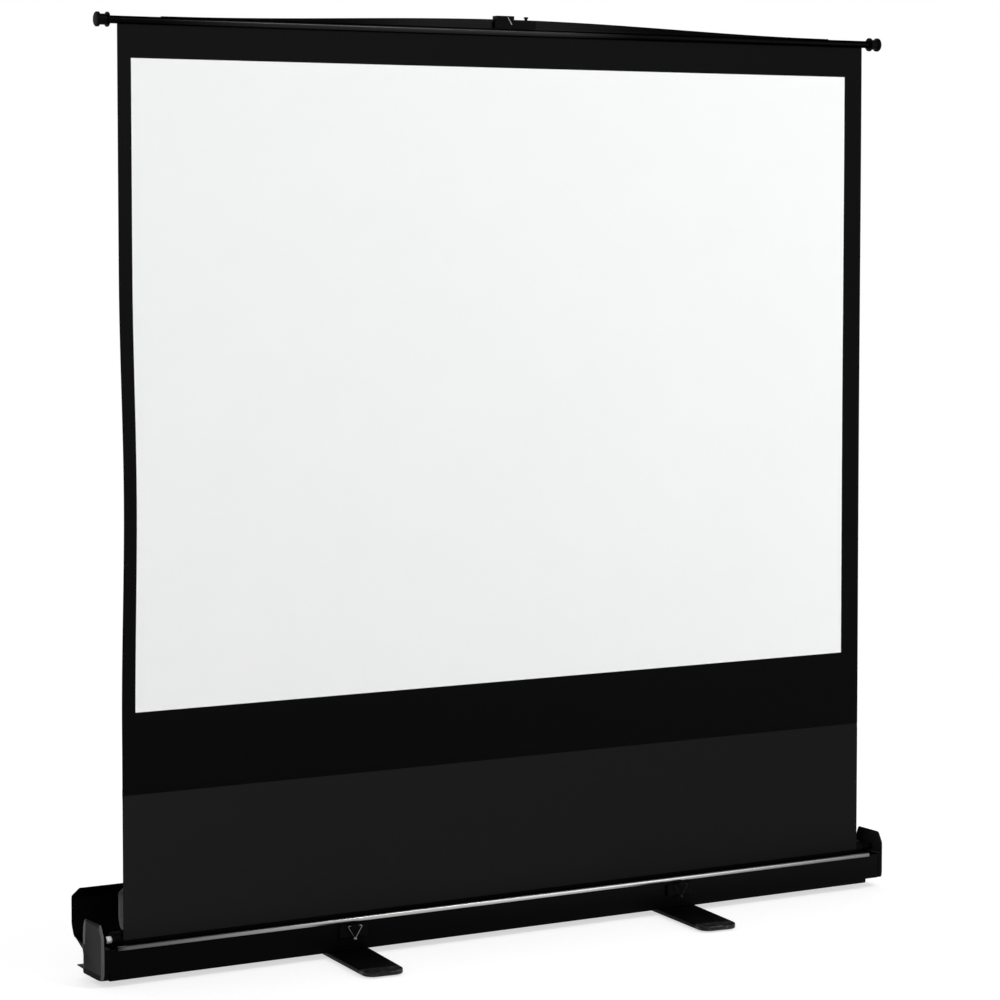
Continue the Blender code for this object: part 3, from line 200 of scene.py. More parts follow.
def object_pattern(nodes, links, stretch, detail=3.0, fineness=1.0):
    """Noise on Object coordinates, stretched by a scale along each axis."""
    place = nodes.new('ShaderNodeTexCoord')
    scaled = nodes.new('ShaderNodeMapping')
    scaled.inputs['Scale'].default_value = stretch
    noise = nodes.new('ShaderNodeTexNoise')
    noise.inputs['Scale'].default_value = fineness
    noise.inputs['Detail'].default_value = detail
    links.new(place.outputs['Object'], scaled.inputs['Vector'])
    links.new(scaled.outputs[0], noise.inputs['Vector'])
    return noise.outputs['Fac']


def add_bump(nodes, links, shader, height, distance, strength):
    """Relief on a shader's normal, from a height."""
    bump = nodes.new('ShaderNodeBump')
    bump.inputs['Strength'].default_value = strength
    bump.inputs['Distance'].default_value = distance
    links.new(height, bump.inputs['Height'])
    links.new(bump.outputs[0], shader.inputs['Normal'])


def tinted(nodes, links, shader, value, dark, light):
    """Base colour between two shades by a value."""
    blend = nodes.new('ShaderNodeMix')
    blend.data_type = 'RGBA'
    blend.inputs['A'].default_value = (*dark, 1)
    blend.inputs['B'].default_value = (*light, 1)
    links.new(value, blend.inputs['Factor'])
    links.new(blend.outputs['Result'], shader.inputs['Base Color'])


def drawn_metal(name, dark, light, roughness, metallic, specular, stretch):
    """Metal or anodised metal with fine lines along one axis."""
    material, nodes, links, shader = finish(name, light, roughness, metallic, specular)
    lines = object_pattern(nodes, links, stretch, 4.0)
    tinted(nodes, links, shader, lines, dark, light)
    links.new(ramp(nodes, links, lines, 0, 1, roughness - 0.06, roughness + 0.08), shader.inputs['Roughness'])
    add_bump(nodes, links, shader, lines, 0.00002, 0.6)
    return material


def dress(material, *names):
    """Give CAD nodes their finish."""
    for name in names:
        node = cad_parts[name]
        node.data.materials.clear()
        node.data.materials.append(material)


def deselect():
    """Nothing selected, so that an operator reaches only what is chosen next."""
    if bpy.context.mode != 'OBJECT':
        bpy.ops.object.mode_set(mode='OBJECT')
    bpy.ops.object.select_all(action='DESELECT')


def take_up(piece):
    """Only this piece selected, and active."""
    deselect()
    piece.select_set(True)
    bpy.context.view_layer.objects.active = piece


def settle(piece):
    """Put a piece's place, turn and size into its mesh, and leave the object at the origin."""
    take_up(piece)
    bpy.ops.object.transform_apply(location=True, rotation=True, scale=True)
    return piece


def choose(piece, kind, test):
    """Edit mode, with only those faces, edges or points selected that pass a test on their place."""
    take_up(piece)
    mesh = piece.data
    for part in (*mesh.vertices, *mesh.edges, *mesh.polygons):
        part.select = False
    bpy.context.tool_settings.mesh_select_mode = (kind == 'VERT', kind == 'EDGE', kind == 'FACE')
    if kind == 'FACE':
        for face in mesh.polygons:
            face.select = test(face.center, face.normal)
    elif kind == 'EDGE':
        for edge in mesh.edges:
            edge.select = test(*(mesh.vertices[i].co for i in edge.vertices))
    else:
        for vertex in mesh.vertices:
            vertex.select = test(vertex.co)
    bpy.ops.object.mode_set(mode='EDIT')


def apply_modifiers(piece):
    """Apply every modifier in order."""
    take_up(piece)
    for modifier in list(piece.modifiers):
        bpy.ops.object.modifier_apply(modifier=modifier.name)


def ease_edges(piece, width, segments=2):
    """Round every sharp edge a little, and shade the rest smooth."""
    bevel = piece.modifiers.new("eased_edges", 'BEVEL')
    bevel.width = width
    bevel.segments = segments
    bevel.limit_method = 'ANGLE'
    bevel.angle_limit = radians(38)
    apply_modifiers(piece)
    bpy.ops.object.shade_smooth_by_angle(angle=radians(32))


def thicken(piece, thickness, offset=-1, inside=0):
    """Give a sheet its thickness, with another finish on its inner face if there is one."""
    solid = piece.modifiers.new("thickness", 'SOLIDIFY')
    solid.thickness = thickness
    solid.offset = offset
    solid.use_even_offset = True
    solid.material_offset = inside
    apply_modifiers(piece)


def block(name, low, high):
    """A plain box between two corners, to be worked on."""
    deselect()
    bpy.ops.mesh.primitive_cube_add(size=1, location=[(a + b) / 2 for a, b in zip(low, high)])
    piece = bpy.context.object
    piece.name = name
    piece.scale = [b - a for a, b in zip(low, high)]
    return settle(piece)


def combine(piece, part, operation):
    """Weld a part to a piece, or cut it out of the piece."""
    joint = piece.modifiers.new("combine", 'BOOLEAN')
    joint.object = part
    joint.operation = operation
    joint.solver = 'EXACT'
    apply_modifiers(piece)
    bpy.data.objects.remove(part)


case_black = drawn_metal("black_anodised_case", grey(0.0008, 0.0009), grey(0.0014, 0.0015), 0.42, 0.0,
                         0.022, ALONG_X)

channel_low, channel_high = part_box("base_tray")
FRONT_WALL_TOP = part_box("front_wall")[1].z
REAR_WALL_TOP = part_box("rear_wall")[1].z
channel = block("case_channel", channel_low, (channel_high.x, channel_high.y, FRONT_WALL_TOP))
choose(channel, 'FACE', lambda place, facing: facing.z > 0.5 or abs(facing.x) > 0.5)
bpy.ops.mesh.delete(type='FACE')
choose(channel, 'VERT', lambda place: place.y > 0 and place.z > channel_high.z)
bpy.ops.transform.translate(value=(0, 0, REAR_WALL_TOP - FRONT_WALL_TOP))
choose(channel, 'EDGE', lambda a, b: max(a.z, b.z) < channel_high.z and abs(a.x - b.x) > channel_high.x)
bpy.ops.mesh.bevel(offset=CHANNEL_BEND, segments=4, affect='EDGES')
channel.data.materials.append(case_black)
thicken(channel, CHANNEL_SHEET)
combine(channel, block("base_step", (BASE_END, channel_low.y - OVERRUN, channel_low.z - OVERRUN),
                       (channel_high.x + OVERRUN, channel_high.y + OVERRUN, BASE_STEP)), 'DIFFERENCE')
ease_edges(channel, CUT_EDGE)
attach(channel, "base")
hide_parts("base_tray", "front_wall", "rear_wall")

# Front lip
# A bare aluminium bead is pressed over the front wall's edge. Its drawn face is painted brightest at the
# middle and darker towards its ends as a painted highlight, and darkest at its left end as the painted shadow
# of the cap.
LIP_FRONT, LIP_BACK = -0.0488, -0.0408
LIP_BOTTOM, LIP_TOP = 0.0690, 0.0780
LIP_ROUNDING = 0.0034
LIP_LEFT, LIP_RIGHT = -0.872, 0.862
LIP_FIT = 0.0002             # room between the groove and the wall in it


def place_ramp(nodes, links, axis, start, end, low=0.0, high=1.0, kind='LINEAR'):
    """A value that goes from low to high between two places along an axis."""
    place = nodes.new('ShaderNodeTexCoord')
    split = nodes.new('ShaderNodeSeparateXYZ')
    links.new(place.outputs['Object'], split.inputs[0])
    return ramp(nodes, links, split.outputs[axis], start, end, low, high, kind)


def product(nodes, links, first, second):
    """Two values multiplied."""
    times = nodes.new('ShaderNodeMath')
    times.operation = 'MULTIPLY'
    links.new(first, times.inputs[0])
    links.new(second, times.inputs[1])
    return times.outputs[0]


def metal_with_painted_sheen(name, dark, light, roughness, edge, sheen_ramps):
    """Drawn metal painted lighter and darker along X by some ramps, as painted highlight and shade, and what
    it reflects at grazing angles.
    """
    material, nodes, links, shader = finish(name, light, roughness, 1.0)
    shader.inputs['Specular Tint'].default_value = (edge, edge, edge, 1)
    lines = object_pattern(nodes, links, ALONG_X, 4.0)
    shade = place_ramp(nodes, links, 'X', *sheen_ramps[0], 'SMOOTHSTEP')
    for more in sheen_ramps[1:]:
        shade = product(nodes, links, shade, place_ramp(nodes, links, 'X', *more, 'SMOOTHSTEP'))
    tinted(nodes, links, shader, shade, dark, light)
    links.new(ramp(nodes, links, lines, 0, 1, roughness - 0.04, roughness + 0.08), shader.inputs['Roughness'])
    add_bump(nodes, links, shader, lines, 0.00002, 0.6)
    return material


# painted highlight along the lip, brightest at the middle, with the painted shadow of the cap at its left end
lip_metal = metal_with_painted_sheen("bare_aluminium_lip", grey(0.01), grey(0.46, 0.45), 0.30, 1.0,
                       ((-0.873, -0.850, 0.1, 1.0), (-0.88, -0.25, 0.2, 0.9), (0.20, 0.90, 1.0, 0.35)))

lip = block("front_lip", (LIP_LEFT, LIP_FRONT, LIP_BOTTOM), (LIP_RIGHT, LIP_BACK, LIP_TOP))
choose(lip, 'EDGE', lambda a, b: abs(a.x - b.x) > 1)
bpy.ops.mesh.bevel(offset=LIP_ROUNDING, segments=4, affect='EDGES')
groove = block("lip_groove", (LIP_LEFT - OVERRUN, channel_low.y - LIP_FIT, LIP_BOTTOM - OVERRUN),
               (LIP_RIGHT + OVERRUN, channel_low.y + CHANNEL_SHEET + LIP_FIT, FRONT_WALL_TOP + LIP_FIT))
combine(lip, groove, 'DIFFERENCE')
ease_edges(lip, CUT_EDGE)
lip.data.materials.append(lip_metal)
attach(lip, "base")
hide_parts("front_trim")

# End caps
# Each end of the case is shut by a moulded cap that plugs into the channel and holds the roller's axle. Its
# outer face is a grained grey panel over a black base strip. Above the walls the cap thins to a plate, with a
# boss for the axle, and its front edge and a strip along its rear edge are painted light grey as a painted
# highlight.
CAP_OUTER, CAP_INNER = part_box("end_cap_left")[0].x, channel_low.x
CAP_TOP, CAP_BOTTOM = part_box("end_cap_left")[1].z + 0.0045, channel_low.z
CAP_FRONT, CAP_REAR, CAP_WAIST = -0.044, 0.0485, 0.0470
CAP_SHOULDER = 0.0480        # rear edge of the upper part
CAP_CORNER = (0.011, 0.022)  # depth and height of the lower front rounding
CAP_TOP_REAR, CAP_TOP_FRONT = 0.0390, -0.0310
CAP_TOP_SIDES = 0.09         # the outline's corners above this are rounded
CAP_TOP_ROUNDING, CAP_RIM = 0.004, 0.0045
CAP_PANEL_INSET, CAP_PANEL_SUNK = 0.0018, 0.0005
CAP_STRIP_TOP, CAP_WAIST_TOP = 0.0235, 0.0690
CAP_HIGHLIGHT_STRIP = 0.0058          # width of the strip along the rear edge that is painted as a highlight
CAP_PLATE, CAP_SHELF = 0.004, 0.0745         # thickness of the upper part, and where it begins
CAP_WING_TIP, CAP_TAB_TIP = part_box("end_cap_left")[1].y, 0.080
CAP_OVERLAP = 0.001          # parts of the moulding run into each other by this
CAP_EDGE, BOSS_EDGE = 0.0004, 0.0006
PLUG_WALL = 0.002
PLUG_DEPTH, PLUG_HALF_WIDTH = 0.010, 0.0417  # of the part inside the channel
PLUG_BOTTOM, PLUG_TOP = 0.0153, 0.060
BOSS_RADIUS, BOSS_DEPTH = 0.0072, 0.0200


def face_outwards(piece):
    """Turn every face of a closed piece to point out of it."""
    take_up(piece)
    bpy.ops.object.mode_set(mode='EDIT')
    bpy.ops.mesh.select_all(action='SELECT')
    bpy.ops.mesh.normals_make_consistent(inside=False)
    bpy.ops.object.mode_set(mode='OBJECT')


def traced(name, outline, start_x, length, closed=True):
    """A line in Y and Z, traced point by point and extruded along X: a block if closed, else a sheet."""
    deselect()
    bpy.ops.mesh.primitive_plane_add(size=NEARLY, location=(start_x, *outline[0]))
    piece = settle(bpy.context.object)
    piece.name = name
    bpy.ops.object.mode_set(mode='EDIT')
    bpy.context.tool_settings.mesh_select_mode = (True, False, False)
    bpy.ops.mesh.select_all(action='SELECT')
    bpy.ops.mesh.merge(type='CENTER')
    for (y, z), (next_y, next_z) in zip(outline, outline[1:]):
        bpy.ops.mesh.extrude_region_move(TRANSFORM_OT_translate={"value": (0, next_y - y, next_z - z)})
    bpy.ops.mesh.select_all(action='SELECT')
    if closed:
        bpy.ops.mesh.edge_face_add()
    bpy.ops.mesh.extrude_region_move(TRANSFORM_OT_translate={"value": (length, 0, 0)})
    bpy.ops.object.mode_set(mode='OBJECT')
    if closed:
        face_outwards(piece)
    return piece


def other_side(piece, name):
    """A mirrored copy for the other end, with its own mesh."""
    take_up(piece)
    bpy.ops.object.duplicate()
    copy = bpy.context.object
    copy.name = name
    copy.scale = (-1, 1, 1)
    face_outwards(settle(copy))
    return copy


def grained_plastic(name, dark, light, roughness, specular, grain_size=0.0006):
    """Moulded plastic with a fine spark-eroded grain and slightly uneven shine."""
    material, nodes, links, shader = finish(name, light, roughness, 0.0, specular)
    grain = object_pattern(nodes, links, (1, 1, 1), 2.0, 1 / grain_size)
    cloud = object_pattern(nodes, links, (1, 1, 1), 3.0, 18.0)
    tinted(nodes, links, shader, cloud, dark, light)
    links.new(ramp(nodes, links, cloud, 0, 1, roughness - 0.05, roughness + 0.08), shader.inputs['Roughness'])
    add_bump(nodes, links, shader, grain, 0.00004, 0.5)
    return material


cap_grey = grained_plastic("grained_grey_cap", grey(0.0080, 0.0082), grey(0.0125, 0.0127), 0.50, 0.03)
cap_black = grained_plastic("black_cap_moulding", grey(0.0008), grey(0.0014), 0.50, 0.02)
# light grey painted highlight for the cap's front edge and a strip along its rear edge
cap_painted_highlight = grained_plastic("cap_edge_painted_highlight", grey(0.080), grey(0.110), 0.45, 0.08)

corner = [(CAP_FRONT + CAP_CORNER[0] * (1 - cos(a)), CAP_BOTTOM + CAP_CORNER[1] * (1 - sin(a)))
          for a in (pi / 12 * step for step in range(7))]
rear_line = [(CAP_WAIST - 0.001, CAP_BOTTOM), (CAP_REAR, CAP_BOTTOM + 0.003), (CAP_REAR, 0.0215),
             (CAP_WAIST, 0.0250), (CAP_WAIST, 0.0482), (0.0500, 0.0557), (0.0510, 0.0682),
             (CAP_SHOULDER, 0.0690), (CAP_SHOULDER, 0.0850), (CAP_SHOULDER - 0.0025, 0.1050)]
top_line = [(CAP_TOP_REAR, CAP_TOP), (CAP_TOP_FRONT, CAP_TOP), (CAP_FRONT, 0.0960)]
cap = traced("end_cap_shell_left", rear_line + top_line + corner, CAP_INNER, CAP_OUTER - CAP_INNER)
choose(cap, 'EDGE', lambda a, b: abs(a.x - b.x) > NEARLY and a.z > CAP_TOP_SIDES)
bpy.ops.mesh.bevel(offset=CAP_TOP_ROUNDING, segments=3, affect='EDGES')
choose(cap, 'EDGE', lambda a, b: (max(a.x, b.x) < CAP_OUTER + NEARLY and max(a.y, b.y) < CAP_TOP_REAR + NEARLY
                                  and max(a.z, b.z) > CAP_BOTTOM + NEARLY))
bpy.ops.mesh.bevel(offset=CAP_RIM, segments=4, affect='EDGES')
for height in (CAP_STRIP_TOP, CAP_WAIST_TOP):
    choose(cap, 'FACE', lambda place, facing: facing.x < -0.3)
    bpy.ops.mesh.bisect(plane_co=(0, 0, height), plane_no=(0, 0, 1))
highlight_line = Vector((0, CAP_SHOULDER - CAP_HIGHLIGHT_STRIP, CAP_WAIST_TOP))
highlight_facing = Vector((0, CAP_TOP - CAP_WAIST_TOP, CAP_HIGHLIGHT_STRIP)).normalized()


def in_highlight_strip(place):
    """Whether a place on the cap's outer face lies in the strip along its rear edge that is painted as a
    highlight.
    """
    return place.z > CAP_WAIST_TOP and (place - highlight_line).dot(highlight_facing) > 0


choose(cap, 'FACE', lambda place, facing: facing.x < -0.99 and place.z > CAP_WAIST_TOP)
bpy.ops.mesh.bisect(plane_co=highlight_line, plane_no=highlight_facing)
choose(cap, 'FACE', lambda place, facing: (facing.x < -0.99 and place.x < CAP_OUTER + NEARLY
                                           and place.z > CAP_STRIP_TOP and not in_highlight_strip(place)))
bpy.ops.mesh.inset(thickness=CAP_PANEL_INSET, depth=-CAP_PANEL_SUNK)
bpy.ops.object.mode_set(mode='OBJECT')
for material in (cap_grey, cap_black, cap_painted_highlight):
    cap.data.materials.append(material)
# the front edge's rounding and the rear strip take the painted highlight
for face in cap.data.polygons:
    rear_strip = face.normal.x < -0.99 and in_highlight_strip(face.center)
    front_edge = face.normal.x < -0.15 and face.normal.y < -0.15 and face.center.z > CAP_BOTTOM + NEARLY
    panel = face.normal.x < -0.3 and face.center.z > CAP_STRIP_TOP
    face.material_index = 2 if rear_strip or front_edge else 0 if panel else 1
wing = [(0.0480, 0.0549), (CAP_WING_TIP, 0.0724), (CAP_WING_TIP, 0.0744), (0.0480, 0.0673)]
tab = [(0.0450, 0.0196), (CAP_TAB_TIP, 0.0205), (CAP_TAB_TIP, 0.0225), (0.0450, 0.0254)]
parts = [traced("cap_fin", fin, CAP_INNER, CAP_OUTER - CAP_INNER + CAP_OVERLAP) for fin in (wing, tab)]
plug = block("cap_plug", (CAP_INNER - NEARLY, -PLUG_HALF_WIDTH, PLUG_BOTTOM),
             (CAP_INNER + PLUG_DEPTH, PLUG_HALF_WIDTH, PLUG_TOP))
choose(plug, 'FACE', lambda place, facing: facing.z > 0.5 or facing.x > 0.5)
bpy.ops.mesh.delete(type='FACE')
thicken(plug, PLUG_WALL)
for part in (*parts, plug):
    ease_edges(part, CAP_EDGE)
    part.data.materials.append(cap_black)
    combine(cap, part, 'UNION')
hollow = block("cap_hollow", (CAP_OUTER + CAP_PLATE, CAP_FRONT - OVERRUN, CAP_SHELF),
               (CAP_INNER + OVERRUN, CAP_SHOULDER + OVERRUN, CAP_TOP + OVERRUN))
combine(cap, hollow, 'DIFFERENCE')
deselect()
axle_low, axle_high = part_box("axle_right")
axle_line = ((axle_low.y + axle_high.y) / 2, (axle_low.z + axle_high.z) / 2)
boss_middle = CAP_OUTER + CAP_PLATE + (BOSS_DEPTH - CAP_OVERLAP) / 2
bpy.ops.mesh.primitive_cylinder_add(vertices=32, radius=BOSS_RADIUS, depth=BOSS_DEPTH + CAP_OVERLAP,
                                    location=(boss_middle, *axle_line), rotation=(0, pi / 2, 0))
boss = settle(bpy.context.object)
ease_edges(boss, BOSS_EDGE)
boss.data.materials.append(cap_black)
combine(cap, boss, 'UNION')
take_up(cap)
bpy.ops.object.shade_smooth_by_angle(angle=radians(32))
right_cap = other_side(cap, "end_cap_shell_right")
combine(right_cap, block("cap_step", (BASE_END - OVERRUN, channel_low.y - OVERRUN, channel_low.z - OVERRUN),
                         (-CAP_OUTER + OVERRUN, CAP_WAIST - NEARLY, BASE_STEP)), 'DIFFERENCE')
for high_x, low_z in ((-CAP_INNER + NEARLY, BASE_STEP), (BASE_END, PLUG_BOTTOM)):
    closing = block("base_closing", (BASE_END - PLUG_WALL, -PLUG_HALF_WIDTH, low_z),
                    (high_x, PLUG_HALF_WIDTH, BASE_STEP + PLUG_WALL))
    closing.data.materials.append(cap_black)
    combine(right_cap, closing, 'UNION')
for side, shell in (("left", cap), ("right", right_cap)):
    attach(shell, "base")
    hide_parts(f"end_cap_{side}")

# Hinge
# A long knuckled hinge of black anodised aluminium joins the lid to the rear wall, on a steel wire. Both
# leaves are riveted on, every 70 mm or so.
RIVET_RADIUS, RIVET_DOME = 0.0026, 0.0012
RIVETS = 25
LEAF_REACH = 0.86            # the first and last rivet are this far from the middle
LEAF_THICKNESS = 0.0015
CASE_RIVETS_UP = 0.0062      # from the lower edge of the leaf on the case
LID_RIVETS, LID_RIVETS_TURN = (0, 0.0590, 0.0721), radians(9.5)


def row_along_x(piece, count, reach):
    """Repeat a small piece from -reach to +reach, as one mesh."""
    step = 2 * reach / (count - 1)
    row = piece.modifiers.new("row", 'ARRAY')
    row.count = count
    row.use_relative_offset = False
    row.use_constant_offset = True
    row.constant_offset_displace = (step, 0, 0)
    apply_modifiers(piece)
    take_up(piece)
    piece.location.x = -reach
    return settle(piece)


steel_bright = drawn_metal("bright_plated_steel", grey(0.50, 0.49), grey(0.68, 0.67), 0.24, 1.0, 0.5,
                           (60, 60, 60))
dress(case_black, "hinge_leaf_case", "hinge_leaf_lid")
dress(steel_bright, "hinge_pin")
case_rivets = (0, channel_high.y + LEAF_THICKNESS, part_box("hinge_leaf_case")[0].z + CASE_RIVETS_UP)
for name, body, place, turn in (("case_leaf_rivets", "base", case_rivets, -pi / 2),
                                ("lid_leaf_rivets", "lid", LID_RIVETS, LID_RIVETS_TURN)):
    deselect()
    bpy.ops.mesh.primitive_cylinder_add(vertices=14, radius=RIVET_RADIUS, depth=2 * RIVET_DOME)
    rivets = settle(bpy.context.object)
    rivets.name = name
    choose(rivets, 'FACE', lambda centre, facing: facing.z > 0.9)
    bpy.ops.mesh.bevel(offset=0.9 * RIVET_DOME, segments=3, affect='EDGES')
    deselect()
    rivets.rotation_euler = (turn, 0, 0)
    rivets.location = place
    settle(rivets)
    row_along_x(rivets, RIVETS, LEAF_REACH)
    rivets.data.materials.append(case_black)
    bpy.ops.object.shade_smooth_by_angle(angle=radians(50))
    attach(rivets, body)

# Lid
# The lid is one sheet of the same aluminium, folded at three soft bends into an open tray that stands behind
# the cloth. It is anodised black outside and lined matt black.
LID_BEND = 0.004
lid_low, lid_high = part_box("lid")
LID_OUTSIDE = [(0.0507, 0.0684), (0.0925, 0.0754), (0.1025, 0.0955), (0.1025, 0.1478), (0.0631, 0.1702)]


def lining(name, dark, light):
    """A matt fibrous lining that swallows light."""
    material, nodes, links, shader = finish(name, light, 0.92, 0.0, 0.02)
    fibres = object_pattern(nodes, links, (1, 1, 1), 4.0, 1400.0)
    tinted(nodes, links, shader, fibres, dark, light)
    add_bump(nodes, links, shader, fibres, 0.00015, 0.6)
    return material


def turn_over(sheet):
    """Turn every face of a sheet the other way."""
    take_up(sheet)
    bpy.ops.object.mode_set(mode='EDIT')
    bpy.ops.mesh.select_all(action='SELECT')
    bpy.ops.mesh.flip_normals()
    bpy.ops.object.mode_set(mode='OBJECT')


lid_lining = lining("matt_black_lining", grey(0.0004), grey(0.0010))
lid = traced("lid_shell", LID_OUTSIDE, lid_low.x, lid_high.x - lid_low.x, closed=False)
if lid.data.polygons[0].normal.z > 0:
    turn_over(lid)
choose(lid, 'EDGE', lambda a, b: (abs(a.x - b.x) > 1
                                  and lid_low.z + CHANNEL_SHEET < a.z < lid_high.z - CHANNEL_SHEET))
bpy.ops.mesh.bevel(offset=LID_BEND, segments=4, affect='EDGES')
for material in (case_black, lid_lining):
    lid.data.materials.append(material)
thicken(lid, CHANNEL_SHEET, inside=1)
ease_edges(lid, CUT_EDGE)
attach(lid, "lid")
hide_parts("lid")

# Foam strips
# Two strips of light grey foam are glued inside the lid, over its bends, and steady the batten when the case
# is shut. They are cut with square ends that the years have rounded.
FOAM_STEP = 0.004
FOAM_TRIM = 0.0025           # cut this much narrower on each side than the space for it
FOAM_RING = 20
FOAM_HALF_THICK = 0.0020
FOAM_GLUE = 0.0003
FOAM_BEND = 0.006            # where it follows a bend, this much of each side is rounded
FOAM_ENDS = (0.72, 0.95)     # where it starts on the lid's first side and ends on its last, as shares of them
FOAM_END_SHARES = (0.86, 0.97, 1.0)          # of its full thickness, from the end inwards
FOAM_SQUARE = (0.35, 0.5)    # lower is squarer, across and through


def soft_line(points, cut, steps=5):
    """An open line of (Y, Z) points with its corners rounded off."""
    line = [points[0]]
    for before, at, after in zip(points, points[1:], points[2:]):
        enter = at + (before - at).normalized() * cut
        leave = at + (after - at).normalized() * cut
        for i in range(steps + 1):
            t = i / steps
            line.append(enter * (1 - t) ** 2 + at * 2 * t * (1 - t) + leave * t ** 2)
    return line + [points[-1]]


def piece_from(name, points, faces):
    """A piece from its points and faces."""
    mesh = bpy.data.meshes.new(name)
    mesh.from_pydata(points, [], faces)
    piece = bpy.data.objects.new(name, mesh)
    bpy.context.scene.collection.objects.link(piece)
    return piece


foam_grey, nodes, links, shader = finish("light_grey_foam", grey(0.25), 0.95, 0.0, 0.10)
shader.inputs['Sheen Weight'].default_value = 0.15
foam_place = nodes.new('ShaderNodeTexCoord')
foam_cells = nodes.new('ShaderNodeTexVoronoi')
foam_cells.inputs['Scale'].default_value = 1100.0
links.new(foam_place.outputs['Object'], foam_cells.inputs['Vector'])
foam_dust = object_pattern(nodes, links, (1, 1, 1), 4.0, 60.0)
tinted(nodes, links, shader, foam_dust, grey(0.16), grey(0.25))
add_bump(nodes, links, shader, foam_cells.outputs['Distance'], 0.0004, 0.7)
for side, sign in (("left", -1), ("right", 1)):
    pad_low, pad_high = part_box(f"lid_pad_{side}")
    half_width = (pad_high.x - pad_low.x) / 2 - FOAM_TRIM
    middle_x = (pad_low.x + pad_high.x) / 2 - sign * FOAM_TRIM
    inner = CHANNEL_SHEET + FOAM_GLUE + FOAM_HALF_THICK
    outside = [Vector(point) for point in LID_OUTSIDE]
    lefts = [Vector((-(b - a).y, (b - a).x)).normalized() for a, b in zip(outside, outside[1:])]
    line = [outside[0] + lefts[0] * inner]
    for at, first, second in zip(outside[1:-1], lefts, lefts[1:]):
        line.append(at + (first + second) * inner / (1 + first.dot(second)))
    line.append(outside[-1] + lefts[-1] * inner)
    line[0] = line[0].lerp(line[1], FOAM_ENDS[0])
    line[-1] = line[-2].lerp(line[-1], FOAM_ENDS[1])
    path = soft_line(line, FOAM_BEND)
    stations = [path[0]]
    for point in path[1:]:
        start = stations[-1]
        steps = max(1, round((point - start).length / FOAM_STEP))
        stations += [start.lerp(point, (i + 1) / steps) for i in range(steps)]
    points, faces = [], []
    for i, at in enumerate(stations):
        ahead = (stations[min(i + 1, len(stations) - 1)] - stations[max(i - 1, 0)]).normalized()
        left = Vector((-ahead.y, ahead.x))
        full = FOAM_END_SHARES[min(i, len(stations) - 1 - i, 2)]
        for k in range(FOAM_RING):
            a = 2 * pi * (k + 0.5) / FOAM_RING
            across = copysign(abs(cos(a)) ** FOAM_SQUARE[0], cos(a)) * half_width * (0.96 + 0.04 * full)
            out = at + left * copysign(abs(sin(a)) ** FOAM_SQUARE[1], sin(a)) * FOAM_HALF_THICK * full
            points.append((middle_x + across, out.x, out.y))
    for i in range(len(stations) - 1):
        for k in range(FOAM_RING):
            here, there = i * FOAM_RING, (i + 1) * FOAM_RING
            faces.append((here + k, here + (k + 1) % FOAM_RING, there + (k + 1) % FOAM_RING, there + k))
    faces.append(tuple(reversed(range(FOAM_RING))))
    faces.append(tuple(range((len(stations) - 1) * FOAM_RING, len(stations) * FOAM_RING)))
    pad = piece_from(f"foam_strip_{side}", points, faces)
    face_outwards(pad)
    bpy.ops.object.shade_smooth_by_angle(angle=radians(50))
    pad.data.materials.append(foam_grey)
    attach(pad, "lid")
    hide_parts(f"lid_pad_{side}")

# Keepers
# A small plated hook on the lid's lip, above each latch, takes the latch wire when the case is shut.
dress(steel_bright, "lid_keeper_left", "lid_keeper_right")

# Carry handle
# A plated wire handle hangs in two moulded blocks on the back of the lid, with a ribbed black sleeve in the
# middle for the hand.
GRIP_RIBS = 17
GRIP_END_SHARE, GRIP_GROOVE_SHARE = 0.75, 0.92               # of the radius of its ribs
GRIP_END_SLOPE, GRIP_MARGIN = 0.0012, 0.002
black_plastic = grained_plastic("black_moulded_plastic", grey(0.0008), grey(0.0016), 0.42, 0.03)
dress(black_plastic, "handle_mount_left", "handle_mount_right")
dress(steel_bright, "carry_handle")


def turned(name, profile, centre, steps=32):
    """A profile of (X, radius) points, traced and spun round a line along X."""
    deselect()
    start = (centre[0] + profile[0][0], centre[1], centre[2] + profile[0][1])
    bpy.ops.mesh.primitive_plane_add(size=NEARLY, location=start)
    piece = settle(bpy.context.object)
    piece.name = name
    bpy.ops.object.mode_set(mode='EDIT')
    bpy.context.tool_settings.mesh_select_mode = (True, False, False)
    bpy.ops.mesh.select_all(action='SELECT')
    bpy.ops.mesh.merge(type='CENTER')
    for (x, radius), (next_x, next_radius) in zip(profile, profile[1:]):
        bpy.ops.mesh.extrude_region_move(
            TRANSFORM_OT_translate={"value": (next_x - x, 0, next_radius - radius)})
    bpy.ops.mesh.select_all(action='SELECT')
    bpy.ops.mesh.spin(steps=steps, angle=2 * pi, center=centre, axis=(1, 0, 0))
    bpy.ops.mesh.select_all(action='SELECT')
    bpy.ops.mesh.remove_doubles(threshold=0.00001)
    face_outwards(piece)
    bpy.ops.object.shade_smooth_by_angle(angle=radians(40))
    return piece


